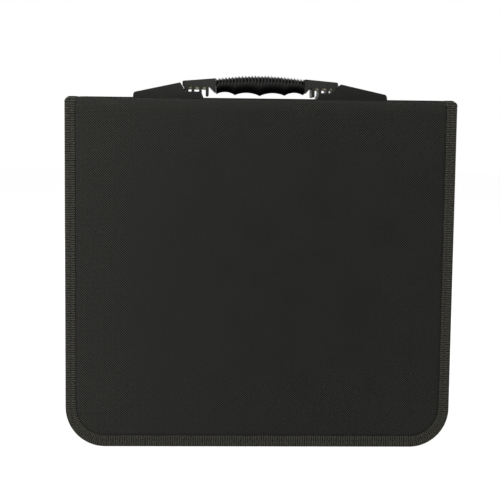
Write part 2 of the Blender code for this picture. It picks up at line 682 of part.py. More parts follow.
def make_strap():
    """The moulded strap: a core through the grip with a toothed head at each end."""
    core_low = CASE_HEIGHT + CORE_HEIGHT
    core_half = GRIP_HALF_LENGTH + CORE_ROOT
    strap = block("handle_strap", (-core_half, core_half), (-CORE_HALF_WIDTH, CORE_HALF_WIDTH),
                  (core_low, core_low + CORE_THICKNESS), MOULDED, case)
    width = (-STRAP_HALF_WIDTH, STRAP_HALF_WIDTH)
    tooth_width = (TOOTH_SIDE_INSET - STRAP_HALF_WIDTH, STRAP_HALF_WIDTH - TOOTH_SIDE_INSET)
    tongue_low = CASE_HEIGHT + HEAD_HEEL + TONGUE_RISE
    tray_tip = HANDLE_BASE + TRAY_FLOOR + STRAP_CLEARANCE
    teeth = [(x, TOOTH_WIDTH / 2, tray_tip, 0.3 * MM) for x in TOOTH_X]
    teeth.append((LONG_TOOTH_X, LONG_TOOTH_WIDTH / 2, CASE_HEIGHT + LONG_TOOTH_FLOOR,
                  1.2 * MM))
    for side, word in ((-1, "left"), (1, "right")):
        head = extruded(f"strap_head_{word}", head_beam(side), width, "XZ")
        soften(head, 0.5 * MM, segments=2, angle=60)
        cut(strap, head, "UNION")
        for number, (x, half, tip, rounding) in enumerate(teeth):
            tooth = extruded(f"strap_tooth_{word}_{number}",
                             head_tooth(side, x, half, tip, rounding), tooth_width, "XZ")
            cut(strap, tooth, "UNION")
        tongue_x = sorted((side * (HEAD_OUTER_X - TONGUE_ROOT),
                           side * (HEAD_OUTER_X + TONGUE_LENGTH)))
        tongue = block(f"strap_tongue_{word}", tongue_x,
                       (-TONGUE_HALF_WIDTH, TONGUE_HALF_WIDTH),
                       (tongue_low, tongue_low + TONGUE_THICKNESS))
        cut(strap, tongue, "UNION")
    return strap


def grip_underside(x):
    """Height of the grip's underside above the spine: four arches between five cusps."""
    cusps = (0.0, GRIP_MIDDLE_CUSP_X, GRIP_HALF_LENGTH)
    reach = min(abs(x), GRIP_HALF_LENGTH)
    low, high = (cusps[0], cusps[1]) if reach <= cusps[1] else (cusps[1], cusps[2])
    share = (reach - low) / (high - low)
    foot = GRIP_CUSP + (GRIP_END_CUSP - GRIP_CUSP) * reach / GRIP_HALF_LENGTH
    return foot + GRIP_ARCH * max(math.sin(math.pi * share), 0.0) ** 0.7


def grip_section(x, valley):
    """One closed section of the grip: an oval whose ribbed top sinks in the valleys."""
    share = min(abs(x) / GRIP_HALF_LENGTH, 1.0)
    top = GRIP_TOP - (GRIP_TOP - GRIP_END_TOP) * share ** 2
    bottom = grip_underside(x)
    middle = (top + bottom) / 2
    half_height = (top - bottom) / 2
    section = []
    for index in range(GRIP_SIDES):
        angle = 2 * math.pi * index / GRIP_SIDES
        cos_a, sin_a = math.cos(angle), math.sin(angle)
        y = GRIP_HALF_WIDTH * math.copysign(abs(cos_a) ** 0.75, cos_a)
        z = half_height * math.copysign(abs(sin_a) ** 0.85, sin_a)
        ribbed = min(max((sin_a - 0.15) / 0.35, 0.0), 1.0)
        sink = 1.0 - valley * ribbed * GRIP_RIB_DEPTH / half_height
        section.append((x, y * sink, CASE_HEIGHT + middle + z * sink))
    return section


def make_grip():
    """The finger grip, lofted through a section on every rib peak and valley."""
    stations = [(-GRIP_HALF_LENGTH, 0.6)]
    first = -GRIP_RIB_PITCH * GRIP_RIBS / 2 + GRIP_RIB_PITCH / 2
    for index in range(2 * GRIP_RIBS - 1):
        stations.append((first + index * GRIP_RIB_PITCH / 2, float(index % 2)))
    stations.append((GRIP_HALF_LENGTH, 0.6))
    bm = bmesh.new()
    loops = []
    for x, valley in stations:
        loops.append([bm.verts.new(point) for point in grip_section(x, valley)])
    for left, right in zip(loops, loops[1:]):
        for index in range(GRIP_SIDES):
            after = (index + 1) % GRIP_SIDES
            bm.faces.new((left[index], left[after], right[after], right[index]))
    bm.faces.new(loops[0])
    bm.faces.new(loops[-1])
    bmesh.ops.recalc_face_normals(bm, faces=bm.faces)
    mesh = bpy.data.meshes.new("handle_grip")
    bm.to_mesh(mesh)
    bm.free()
    grip = place(bpy.data.objects.new("handle_grip", mesh), GRIP_RUBBER)
    core_low = CASE_HEIGHT + CORE_HEIGHT
    half = CORE_HALF_WIDTH + FIT_GAP
    bore = block("grip_bore", (-GRIP_HALF_LENGTH - 1 * MM, GRIP_HALF_LENGTH + 1 * MM),
                 (-half, half), (core_low - FIT_GAP, core_low + CORE_THICKNESS + FIT_GAP))
    return cut(grip, bore)


def make_ring_base():
    """The pressed channel over the blades, open at each end for its lever."""
    half, wall = RING_BASE_HALF_WIDTH, RING_BASE_WALL
    bend = RING_BASE_ROUNDING
    outer = [(-half, RING_BASE_TOP, 0), (-half, RING_BASE_CROWN, bend),
             (half, RING_BASE_CROWN, bend), (half, RING_BASE_TOP, 0)]
    inner = [(half - wall, RING_BASE_TOP, 0), (half - wall, RING_BASE_CROWN + wall, bend - wall),
             (wall - half, RING_BASE_CROWN + wall, bend - wall), (wall - half, RING_BASE_TOP, 0)]
    reach = RING_BASE_REACH
    base = extruded("ring_base", rounded(outer + inner), (-reach, reach), "YZ", STEEL, case)
    slot_low = RING_BASE_CROWN - 1 * MM
    slot_high = RING_BASE_CROWN + wall + 1 * MM
    x_half = RING_WIRE_RADIUS + RING_SLOT_MARGIN
    near = RING_ROOT_Y - RING_WIRE_RADIUS - RING_SLOT_MARGIN
    far = RING_ROOT_Y + RING_WIRE_RADIUS + RING_SWING_MARGIN
    for number, x in enumerate((-RING_SPACING, 0.0, RING_SPACING)):
        for side in (-1, 1):
            y_span = sorted((side * near, side * far))
            slot = block(f"ring_slot_{number}_{side}", (x - x_half, x + x_half), y_span,
                         (slot_low, slot_high))
            cut(base, slot)
    lever_half = LEVER_HALF_WIDTH + FIT_GAP
    for side in (-1, 1):
        notch_x = sorted((side * (reach - LEVER_NOTCH), side * (reach + 1 * MM)))
        notch = block(f"lever_notch_{side}", notch_x, (-lever_half, lever_half),
                      (slot_low, slot_high))
        cut(base, notch)
        x = side * BASE_RIVET_X
        hole = rod(f"base_rivet_gap_{side}", BASE_RIVET_RADIUS + FIT_GAP,
                   (x, 0.0, slot_low), (x, 0.0, slot_high))
        cut(base, hole)
        make_base_rivet(side)
    return base


def make_base_rivet(side):
    """A domed rivet through the channel's crown into the spine board."""
    word = "left" if side < 0 else "right"
    x = side * BASE_RIVET_X
    head_top = RING_BASE_CROWN - FIT_GAP
    rivet = rod(f"ring_base_rivet_{word}", BASE_RIVET_HEAD,
                (x, 0.0, head_top - BASE_RIVET_HEAD_HEIGHT), (x, 0.0, head_top), "XY", 20,
                STEEL, case)
    soften(rivet, 0.5 * MM, segments=2)
    shank = rod(f"base_shank_{word}", BASE_RIVET_RADIUS,
                (x, 0.0, head_top - BASE_RIVET_HEAD_HEIGHT / 2),
                (x, 0.0, SPINE_INNER + BASE_RIVET_SEAT - FIT_GAP))
    return cut(rivet, shank, "UNION")


def make_rings(word, side):
    """One blade with its three half rings, which swing on the blade's outer edge."""
    reach = BLADE_REACH
    y_span = sorted((side * FIT_GAP / 2, side * BLADE_PIVOT_Y))
    blade = block(f"blade_{word}", (-reach, reach), y_span,
                  (BLADE_TOP - BLADE_THICKNESS, BLADE_TOP), STEEL, case)
    for side_x in (-1, 1):
        x = side_x * BASE_RIVET_X
        gap = rod(f"blade_gap_{word}_{side_x}", BASE_RIVET_RADIUS + 3 * FIT_GAP,
                  (x, 0.0, BLADE_TOP - 2 * BLADE_THICKNESS), (x, 0.0, BLADE_TOP + BLADE_THICKNESS))
        cut(blade, gap)
    root = BLADE_TOP - BLADE_THICKNESS - FIT_GAP
    shoulder = RING_BASE_CROWN - RING_SHOULDER_DROP
    corners = [
        (side * RING_ROOT_Y, root, 0),
        (side * RING_ROOT_Y, shoulder, RING_ROOT_BEND),
        (side * RING_LEG_Y, shoulder, RING_BEND),
        (side * RING_LEG_Y, RING_RUN_Z, RING_BEND),
        (side * FIT_GAP / 2, RING_RUN_Z, 0),
    ]
    route = []
    for index, (y, z, radius) in enumerate(corners):
        if radius == 0:
            route.append((y, z))
        else:
            route += corner_arc(corners[index - 1], (y, z), corners[index + 1], radius, 6)
    pieces = [blade]
    for place_word, x in (("left", -RING_SPACING), ("centre", 0.0), ("right", RING_SPACING)):
        curve = poly_curve(f"ring_{word}_{place_word}", [(x, y, z) for y, z in route],
                           closed=False, flat=False)
        curve.bevel_depth = RING_WIRE_RADIUS
        curve.bevel_resolution = 2
        curve.use_fill_caps = True
        ring = bpy.data.objects.new(f"ring_{word}_{place_word}", curve)
        pieces.append(as_mesh(ring, STEEL, case))
    pivot = joint_empty(f"rings_{word}_pivot", (0.0, side * BLADE_PIVOT_Y, BLADE_PIVOT_Z))
    carry(pivot, pieces)
    return pivot


def make_lever(word, side):
    """A thumb lever that turns between the channel's cheeks on its own rolled hub."""
    x = side * LEVER_X
    hub_half = RING_BASE_HALF_WIDTH - RING_BASE_WALL - FIT_GAP
    hub = rod(f"ring_lever_{word}", LEVER_HUB_RADIUS, (x, -hub_half, LEVER_Z),
              (x, hub_half, LEVER_Z), "XZ", 16, STEEL, case)
    wall = LEVER_WALL / 2
    low = LEVER_Z - LEVER_LENGTH
    knee = LEVER_Z - LEVER_LENGTH * 0.45
    profile = [
        (x - side * wall, LEVER_Z, 0),
        (x - side * wall, knee, 3 * MM),
        (x + side * (LEVER_FLARE - wall), low, 0.5 * MM),
        (x + side * (LEVER_FLARE + wall), low + LEVER_WALL / 3, 0.5 * MM),
        (x + side * wall, knee, 3 * MM),
        (x + side * wall, LEVER_Z, 0),
    ]
    tab = extruded(f"lever_tab_{word}", rounded(profile),
                   (-LEVER_HALF_WIDTH, LEVER_HALF_WIDTH), "XZ")
    cut(hub, tab, "UNION")
    pivot = joint_empty(f"ring_lever_{word}_pivot", (x, 0.0, LEVER_Z))
    carry(pivot, [hub])
    return pivot


def make_pages():
    """The stack of disc sleeves: grooved edges, pocket fields and three ring slots."""
    half = PAGES_HALF_WIDTH
    low, high = PAGES_FLOOR_GAP, RING_RUN_Z + PAGES_ABOVE_RING
    pitch = 2 * PAGES_HALF_DEPTH / PAGES_LEAVES
    right = []
    for leaf in range(PAGES_LEAVES):
        start = -PAGES_HALF_DEPTH + leaf * pitch
        right.append((half, start + LEAF_GROOVE / 2))
        right.append((half, start + pitch - LEAF_GROOVE / 2))
        if leaf < PAGES_LEAVES - 1:
            right.append((half - LEAF_GROOVE_DEPTH, start + pitch))
    left = [(-x, -y) for x, y in right]
    pages = extruded("sleeve_pages", right + left, (low, high), "XY", SLEEVE, case)
    pocket_low = low + POCKET_MARGIN
    pocket_high = RING_RUN_Z - SLOT_BELOW - POCKET_MARGIN
    pocket_mid = (pocket_low + pocket_high) / 2
    margin = POCKET_MARGIN / 2
    depth = PAGES_HALF_DEPTH - LEAF_GROOVE / 2 + POCKET_RISE
    for number, (x0, x1) in enumerate(((POCKET_MARGIN - half, -margin),
                                       (margin, half - POCKET_MARGIN))):
        rows = ((pocket_low, pocket_mid - margin), (pocket_mid + margin, pocket_high))
        for row, z_span in enumerate(rows):
            pocket = block(f"pocket_{number}_{row}", (x0, x1), (-depth, depth), z_span)
            cut(pages, pocket, "UNION")
    slot_half = RING_WIRE_RADIUS + SLOT_SIDE_GAP
    for number, x in enumerate((-RING_SPACING, 0.0, RING_SPACING)):
        slot = block(f"page_slot_{number}", (x - slot_half, x + slot_half),
                     (-PAGES_HALF_DEPTH - 2 * MM, PAGES_HALF_DEPTH + 2 * MM),
                     (RING_RUN_Z - RING_WIRE_RADIUS - SLOT_BELOW,
                      RING_RUN_Z + RING_WIRE_RADIUS + SLOT_ABOVE))
        cut(pages, slot)
    return pages


def make_slider():
    """The zip slider on the right side: two plates on a post, lips and a bridge."""
    edge = CASE_WIDTH / 2
    face_x = edge - SLIDER_FACE
    outer_x = face_x + SLIDER_PLATE
    waist = SLIDER_BOTTOM + SLIDER_LENGTH * 0.45
    plan = [
        (-SLIDER_TAIL_HALF_WIDTH, SLIDER_BOTTOM, 0.8 * MM),
        (SLIDER_TAIL_HALF_WIDTH, SLIDER_BOTTOM, 0.8 * MM),
        (SLIDER_TAIL_HALF_WIDTH, waist, 1.0 * MM),
        (SLIDER_HALF_WIDTH, SLIDER_TOP, 2.0 * MM),
        (-SLIDER_HALF_WIDTH, SLIDER_TOP, 2.0 * MM),
        (-SLIDER_TAIL_HALF_WIDTH, waist, 1.0 * MM),
    ]
    slider = extruded("zip_slider", rounded(plan), (face_x, outer_x), "YZ", BLACK_METAL, case)
    soften(slider, 0.35 * MM, angle=60)
    inner_x = edge - TAPE_INNER - SLIDER_CLEARANCE
    inner = extruded("slider_inner_plate", rounded(plan),
                     (inner_x - SLIDER_INNER_PLATE, inner_x), "YZ")
    cut(slider, inner, "UNION")
    post = block("slider_post", (inner_x - SLIDER_INNER_PLATE / 2, face_x + SLIDER_PLATE / 2),
                 (-SLIDER_POST / 2, SLIDER_POST / 2),
                 (SLIDER_TOP - SLIDER_POST_LENGTH - 1 * MM, SLIDER_TOP - 1 * MM))
    cut(slider, post, "UNION")
    for side in (-1, 1):
        lip_outer = SLIDER_TAIL_HALF_WIDTH - LIP_SIDE_INSET
        lip_y = sorted((side * (lip_outer - SLIDER_LIP), side * lip_outer))
        lip = block(f"slider_lip_{side}", (face_x - SLIDER_LIP_DEPTH, face_x + SLIDER_PLATE / 2),
                    lip_y, (SLIDER_BOTTOM + 0.6 * MM, waist))
        cut(slider, lip, "UNION")
    pull_z = (SLIDER_TOP + SLIDER_BOTTOM) / 2
    pull_x = outer_x + BRIDGE_HEIGHT / 2
    bridge_outline = [
        (outer_x - 0.3 * MM, pull_z - BRIDGE_LENGTH / 2, 0),
        (outer_x + BRIDGE_HEIGHT, pull_z - BRIDGE_LENGTH / 2, 1.8 * MM),
        (outer_x + BRIDGE_HEIGHT, pull_z + BRIDGE_LENGTH / 2, 1.8 * MM),
        (outer_x - 0.3 * MM, pull_z + BRIDGE_LENGTH / 2, 0),
    ]
    bridge = extruded("slider_bridge", rounded(bridge_outline),
                      (-BRIDGE_HALF_WIDTH, BRIDGE_HALF_WIDTH), "XZ")
    cut(slider, bridge, "UNION")
    bore = rod("bridge_bore", BRIDGE_HOLE_RADIUS, (pull_x, -2 * BRIDGE_HALF_WIDTH, pull_z),
               (pull_x, 2 * BRIDGE_HALF_WIDTH, pull_z), "XZ", 16)
    cut(slider, bore)
    return slider, pull_x, pull_z


def make_pull(pull_x, pull_z):
    """The pull tab: a bar through the slider's bridge, two arms and a long plate."""
    arm_inner = BRIDGE_HALF_WIDTH + FIT_GAP
    arm_outer = arm_inner + PULL_ARM
    pull = rod("zip_pull", PULL_BAR_RADIUS, (pull_x, -arm_outer, pull_z),
               (pull_x, arm_outer, pull_z), "XZ", 12, BLACK_METAL, case)
    tab_outline = [
        (-arm_outer, pull_z + PULL_BAR_RADIUS, 0.3 * MM),
        (-arm_outer, pull_z - PULL_EYE_LENGTH, 0),
        (-PULL_HALF_WIDTH, pull_z - 1.6 * PULL_EYE_LENGTH, 0.6 * MM),
        (-PULL_HALF_WIDTH, pull_z - PULL_LENGTH, 2.0 * MM),
        (PULL_HALF_WIDTH, pull_z - PULL_LENGTH, 2.0 * MM),
        (PULL_HALF_WIDTH, pull_z - 1.6 * PULL_EYE_LENGTH, 0.6 * MM),
        (arm_outer, pull_z - PULL_EYE_LENGTH, 0),
        (arm_outer, pull_z + PULL_BAR_RADIUS, 0.3 * MM),
        (arm_inner, pull_z + PULL_BAR_RADIUS, 0),
        (arm_inner, pull_z - PULL_EYE_LENGTH, 0.6 * MM),
        (-arm_inner, pull_z - PULL_EYE_LENGTH, 0.6 * MM),
        (-arm_inner, pull_z + PULL_BAR_RADIUS, 0),
    ]
    thick = PULL_THICKNESS / 2
    tab = extruded("pull_tab", rounded(tab_outline), (pull_x - thick, pull_x + thick), "YZ")
    cut(pull, tab, "UNION")
    eyelet = block("pull_eyelet", (pull_x - 2 * thick, pull_x + 2 * thick),
                   (-PULL_HALF_WIDTH / 3, PULL_HALF_WIDTH / 3),
                   (pull_z - PULL_LENGTH + 3 * MM, pull_z - PULL_LENGTH + 9 * MM))
    cut(pull, eyelet)
    return pull


make_spine()
make_anchor("left", -1)
make_anchor("right", 1)
make_strap()
make_grip()
make_ring_base()
make_rings("front", -1)
make_rings("back", 1)
make_lever("left", -1)
make_lever("right", 1)
make_pages()
make_cover("front", -1)
back_hinge = make_cover("back", 1)

slider_piece, pull_bar_x, pull_bar_z = make_slider()
pull_piece = make_pull(pull_bar_x, pull_bar_z)
slider_guide = joint_empty("zip_slider_guide", (CASE_WIDTH / 2 - SLIDER_FACE, 0.0, SLIDER_TOP))
pull_pivot = joint_empty("zip_pull_pivot", (pull_bar_x, 0.0, pull_bar_z))
carry(slider_guide, [slider_piece, pull_pivot])
carry(pull_pivot, [pull_piece])
carry(back_hinge, [slider_guide])
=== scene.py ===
import math

import bmesh
import bpy
import numpy as np
from mathutils import Matrix, Vector


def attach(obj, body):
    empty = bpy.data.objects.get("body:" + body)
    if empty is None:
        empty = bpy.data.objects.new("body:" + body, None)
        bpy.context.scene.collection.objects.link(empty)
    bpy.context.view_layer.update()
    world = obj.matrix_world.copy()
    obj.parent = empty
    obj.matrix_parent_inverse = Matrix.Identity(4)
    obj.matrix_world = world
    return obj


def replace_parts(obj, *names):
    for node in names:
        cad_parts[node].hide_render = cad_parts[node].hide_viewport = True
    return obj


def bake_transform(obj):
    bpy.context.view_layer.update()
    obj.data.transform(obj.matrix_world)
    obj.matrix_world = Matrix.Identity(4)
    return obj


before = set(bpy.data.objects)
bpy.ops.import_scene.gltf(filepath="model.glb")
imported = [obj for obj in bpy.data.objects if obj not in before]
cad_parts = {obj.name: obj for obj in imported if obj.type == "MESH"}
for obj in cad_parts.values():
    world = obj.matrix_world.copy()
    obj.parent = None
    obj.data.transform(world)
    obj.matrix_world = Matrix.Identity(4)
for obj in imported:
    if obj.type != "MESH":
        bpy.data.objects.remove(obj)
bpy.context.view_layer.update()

scene = bpy.context.scene
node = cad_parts

# The photo's view. The camera stands 1.1 m in front of the case, a little below the level
# of its top edge, and looks down by 6 degrees through a long lens.
YAW, PITCH, ROLL = (math.radians(angle) for angle in (2.251, 6.001, 0.689))
CAMERA_PLACE, LENS, SENSOR_WIDTH = (-0.0522, -1.1460, 0.2937), 89.57, 36.0
ahead = np.array([math.sin(YAW) * math.cos(PITCH), math.cos(YAW) * math.cos(PITCH), -math.sin(PITCH)])
level = np.array([math.cos(YAW), -math.sin(YAW), 0.0])
upward = np.cross(level, ahead)
axes = np.eye(4)
axes[:3, 0] = level * math.cos(ROLL) + upward * math.sin(ROLL)
axes[:3, 1] = upward * math.cos(ROLL) - level * math.sin(ROLL)
axes[:3, 2] = -ahead
axes[:3, 3] = CAMERA_PLACE
camera = bpy.data.objects.new("photo_camera", bpy.data.cameras.new("photo_camera"))
camera.data.lens = LENS
camera.data.sensor_width = SENSOR_WIDTH
camera.matrix_world = Matrix(axes.tolist())
scene.collection.objects.link(camera)
scene.camera = camera

# Front and back cover boards. Each is a stiff board under a thin foam, covered with coated
# polyester oxford cloth that is pulled over the foam and sewn down under the binding tape.
HALF_WIDTH, HALF_DEPTH, COVER_TOP = 0.1725, 0.050, 0.307
CORNER = 0.0355
EDGE_RISE, EDGE_BEND, EDGE_BASE = COVER_TOP - CORNER, math.pi * CORNER / 2, 2 * (HALF_WIDTH - CORNER)
EDGE_STOPS = np.cumsum([0.0, EDGE_RISE, EDGE_BEND, EDGE_BASE, EDGE_BEND, EDGE_RISE])
BOARD_INSET, BOARD_BACK = 0.0012, 0.0050
FIELD_INSET, FIELD_DEPTH, SIDE_DRAW = 0.0102, 0.0003, 0.0010
UNDER_TAPE, FOAM_EDGE, OUTER_FIELD = (BOARD_INSET, 0.0096), (0.0100, 0.0135), (0.0150, 0.0300)
FOAM_RISE, FOAM_SWELL, SWELL_REACH = 0.0011, 0.0005, 0.018
SIDE_FOOT, SIDE_FULL = 0.012, 0.045
RIPPLE, RIPPLE_REACH = 0.00010, 0.010
# Middle, as shares of the span, and span in mm of the painted edge light on the cover cloth.
PAINTED_LIGHT_MIDDLE, PAINTED_LIGHT_SPAN = (0.32, 0.87), 190.0
# Heights in mm of the painted highlight over the cloth's top roll and of the painted shade where it turns
# in.
TOP_HIGHLIGHT_FOOT, TOP_HIGHLIGHT_TOP, CREASE_SHADE_START, CREASE_SHADE_END = 298.0, 309.5, 310.2, 310.9


def linear(code):
    """An sRGB hex colour as linear light: c / 12.92 where dark, else ((c + 0.055) / 1.055) ** 2.4."""
    c = np.array([int(code[i:i + 2], 16) for i in (1, 3, 5)]) / 255
    c = np.where(c <= 0.04045, c / 12.92, ((c + 0.055) / 1.055) ** 2.4)
    return (*c.tolist(), 1.0)


def add_node(material, kind, settings=None, links=None):
    """Adds a node, sets its sockets and options by name or number, and links outputs to its inputs."""
    tree = material.node_tree
    added = tree.nodes.new(kind)
    for key, value in (settings or {}).items():
        if isinstance(key, int) or key in added.inputs:
            added.inputs[key].default_value = value
        else:
            setattr(added, key, value)
    for key, output in (links or {}).items():
        tree.links.new(output, added.inputs[key])
    return added


def surface_material(name, roughness, **sockets):
    """A material with its shader's constant values set on the shader's own sockets."""
    material = bpy.data.materials.new(name)
    material.use_nodes = True
    shader = material.node_tree.nodes["Principled BSDF"]
    shader.inputs["Roughness"].default_value = roughness
    for key, value in sockets.items():
        shader.inputs[key.replace("_", " ")].default_value = value
    return material, shader


def woven_cloth(name, dark, light, pitch, contrast, relief, painted_edge_light=0.0, crown=0.0):
    """Cloth of crossing threads on the piece's own UV in mm, matt and soft to the eye.

    The knots' height is cos(2 pi u / p) * cos(2 pi v / q) / 2 + 1/2, so light knots and dark hollows
    lie in diamonds. The real threads stand 0.5 mm apart, finer than a pixel, and are drawn coarser.
    Slow patches show the weave more or less. A painted edge light lightens the cloth with the square
    of the distance from its middle. crown paints a highlight where the cloth swells over the cover's
    top edge, and dark takes over as painted shade where it turns in.
    """
    material, shader = surface_material(name, 0.78, Sheen_Weight=0.01, Sheen_Roughness=0.5,
                                        Specular_IOR_Level=0.06)
    place = add_node(material, "ShaderNodeUVMap", {"uv_map": "cloth"})
    turns = add_node(material, "ShaderNodeVectorMath", {"operation": "MULTIPLY",
                     1: (2 * math.pi / pitch[0], 2 * math.pi / pitch[1], 0.0)}, {0: place.outputs[0]})
    waves = add_node(material, "ShaderNodeVectorMath", {"operation": "COSINE"}, {0: turns.outputs[0]})
    parts = add_node(material, "ShaderNodeSeparateXYZ", {}, {0: waves.outputs[0]})
    knots = add_node(material, "ShaderNodeMath", {"operation": "MULTIPLY"},
                     {0: parts.outputs[0], 1: parts.outputs[1]})
    height = add_node(material, "ShaderNodeMath", {"operation": "MULTIPLY_ADD", 1: 0.5, 2: 0.5},
                      {0: knots.outputs[0]})
    patch = add_node(material, "ShaderNodeTexNoise", {"Scale": 0.028, "Detail": 2.5},
                     {"Vector": place.outputs[0]})
    amount = add_node(material, "ShaderNodeMapRange", {"From Min": 0.36, "From Max": 0.64,
                      "To Min": contrast * 0.5, "To Max": contrast}, {"Value": patch.outputs[0]})
    weave = add_node(material, "ShaderNodeMath", {"operation": "MULTIPLY"},
                     {0: knots.outputs[0], 1: amount.outputs[0]})
    fibre = add_node(material, "ShaderNodeTexNoise", {"Scale": 0.7, "Detail": 3.0},
                     {"Vector": place.outputs[0]})
    mixed = add_node(material, "ShaderNodeMath", {"operation": "MULTIPLY_ADD", 1: 0.4, 2: 0.04},
                     {0: fibre.outputs[0]})
    # Painted edge light: lighter with the square of the distance from the middle, added to the fibre noise.
    away = add_node(material, "ShaderNodeVectorMath", {"operation": "MULTIPLY_ADD",
                    1: (1 / PAINTED_LIGHT_SPAN, 1 / PAINTED_LIGHT_SPAN, 0.0), 2: (-PAINTED_LIGHT_MIDDLE[0], -PAINTED_LIGHT_MIDDLE[1], 0.0)},
                    {0: place.outputs[0]})
    far = add_node(material, "ShaderNodeVectorMath", {"operation": "DOT_PRODUCT"},
                   {0: away.outputs[0], 1: away.outputs[0]})
    fibre_and_edge_light = add_node(material, "ShaderNodeMath", {"operation": "MULTIPLY_ADD", 1: painted_edge_light},
                      {0: far.outputs["Value"], 2: mixed.outputs[0]})
    # Painted highlight where the cloth swells over the top edge, and painted shade where it turns in.
    level_up = add_node(material, "ShaderNodeSeparateXYZ", {}, {0: place.outputs[0]})
    swell = add_node(material, "ShaderNodeMapRange", {"interpolation_type": "SMOOTHERSTEP",
                     "From Min": TOP_HIGHLIGHT_FOOT, "From Max": TOP_HIGHLIGHT_TOP, "To Min": 0.0, "To Max": crown},
                     {"Value": level_up.outputs[1]})
    turned = add_node(material, "ShaderNodeMapRange", {"From Min": CREASE_SHADE_START, "From Max": CREASE_SHADE_END,
                      "To Min": 0.0, "To Max": -3.0 * crown}, {"Value": level_up.outputs[1]})
    edge = add_node(material, "ShaderNodeMath", {"operation": "ADD"},
                    {0: swell.outputs[0], 1: turned.outputs[0]})
    # All the painted light and shade of the cloth, with its fibre noise.
    painted_light = add_node(material, "ShaderNodeMath", {"operation": "ADD"},
                      {0: fibre_and_edge_light.outputs[0], 1: edge.outputs[0]})
    factor = add_node(material, "ShaderNodeMath", {"operation": "ADD", "use_clamp": True},
                      {0: weave.outputs[0], 1: painted_light.outputs[0]})
    colour = add_node(material, "ShaderNodeMix", {"data_type": "RGBA", 6: linear(dark),
                      7: linear(light)}, {0: factor.outputs[0]})
    bump = add_node(material, "ShaderNodeBump", {"Strength": 0.6, "Distance": relief},
                    {"Height": height.outputs[0]})
    material.node_tree.links.new(colour.outputs[2], shader.inputs["Base Color"])
    material.node_tree.links.new(bump.outputs[0], shader.inputs["Normal"])
    return material


def grid_mesh(name, points, material, uv=None, ring=False, caps=False, sharp=50):
    """A mesh of four-sided faces on points[copy, row, column] or points[row, column].

    A ring joins its last column to its first, and caps close its first and last rows. Where the
    sum of (c - a) x (d - b) . (a + b + c + d) over the faces is negative, they are turned round.
    """
    if points.ndim == 3:
        points = points[None]
        uv = None if uv is None else uv[None]
    copies, rows, columns = points.shape[:3]
    one = np.arange(rows * columns).reshape(rows, columns)
    if ring:
        one = np.concatenate([one, one[:, :1]], axis=1)
    quads = np.stack([one[:-1, :-1], one[1:, :-1], one[1:, 1:], one[:-1, 1:]], axis=-1)
    quads = quads.reshape(-1, 4)
    shell = points[0].reshape(-1, 3) - points[0].reshape(-1, 3).mean(axis=0)
    a, b, c, d = (shell[quads[:, k]] for k in range(4))
    inward = (np.cross(c - a, d - b) * (a + b + c + d)).sum() < 0
    step = -1 if inward else 1
    jump = (np.arange(copies) * rows * columns)[:, None, None]
    faces = (quads[None, :, ::step] + jump).reshape(-1, 4).tolist()
    if caps:
        first, last = one[0, :columns][::step], one[-1, :columns][::-step]
        for end in (first, last):
            faces += (end[None, :] + jump[:, 0]).tolist()
    mesh = bpy.data.meshes.new(name)
    mesh.from_pydata(points.reshape(-1, 3).tolist(), [], faces)
    if uv is not None:
        wide = one.shape[1]
        flat = np.broadcast_to(uv, (copies, rows, wide, 2)).reshape(copies, -1, 2)
        cell = np.arange(rows * wide).reshape(rows, wide)
        loops = np.stack([cell[:-1, :-1], cell[1:, :-1], cell[1:, 1:], cell[:-1, 1:]], axis=-1)
        values = flat[:, loops.reshape(-1, 4)[:, ::step].ravel()].reshape(-1, 2)
        if caps:
            ends = np.concatenate([cell[0, :columns][::step], cell[-1, :columns][::-step]])
            halves = flat[:, ends].reshape(copies, 2, columns, 2)
            values = np.concatenate([values, halves[:, 0].reshape(-1, 2), halves[:, 1].reshape(-1, 2)])
        mesh.uv_layers.new(name="cloth").data.foreach_set("uv", values.ravel().astype(np.float32))
    mesh.shade_smooth()
    mesh.set_sharp_from_angle(angle=math.radians(sharp))
    mesh.materials.append(material)
    piece = bpy.data.objects.new(name, mesh)
    scene.collection.objects.link(piece)
    return piece


def along_edge(count):
    """Evenly spaced distances round the cover's edge, from its top left end to its top right end."""
    return np.linspace(0.0, EDGE_STOPS[-1], count)


def round_edge(s, inset, depth, side):
    """Places at distance s round the cover's edge, inset from it and depth behind the cover's face.

    The edge's centre line runs down, across and up between the corners' centres. Its normal turns
    from 180 to 360 degrees, evenly in each corner, and a place lies CORNER - inset along it.
    """
    angle = np.radians(np.interp(s, EDGE_STOPS, (180, 180, 270, 270, 360, 360)))
    half = EDGE_BASE / 2
    centre_x = np.interp(s, EDGE_STOPS, (-half, -half, -half, half, half, half))
    centre_z = np.interp(s, EDGE_STOPS, (COVER_TOP, CORNER, CORNER, CORNER, CORNER, COVER_TOP))
    x = centre_x + (CORNER - inset) * np.cos(angle)
    z = centre_z + (CORNER - inset) * np.sin(angle)
    y = side * (HALF_DEPTH - depth)
    return np.stack(np.broadcast_arrays(x, y, z), axis=-1)


def side_share(z):
    """How far a height z lies up a cover's side: 0 along the bottom, 1 from 45 mm up."""
    return np.clip((z - SIDE_FOOT) / (SIDE_FULL - SIDE_FOOT), 0, 1)


def merged(piece):
    """Joins the vertices that meet in one point, such as a surface's pole, into one."""
    bm = bmesh.new()
    bm.from_mesh(piece.data)
    bmesh.ops.remove_doubles(bm, verts=bm.verts, dist=2e-6)
    bm.to_mesh(piece.data)
    bm.free()
    return piece


# The cover cloth, with a painted edge light, a painted highlight on its top roll and painted shade where it
# turns in.
OXFORD = woven_cloth("coated_oxford_cloth_plain_woven", "#040404", "#343431", (2.15, 2.15), 2.5,
                     0.00018, painted_edge_light=0.24, crown=0.30)


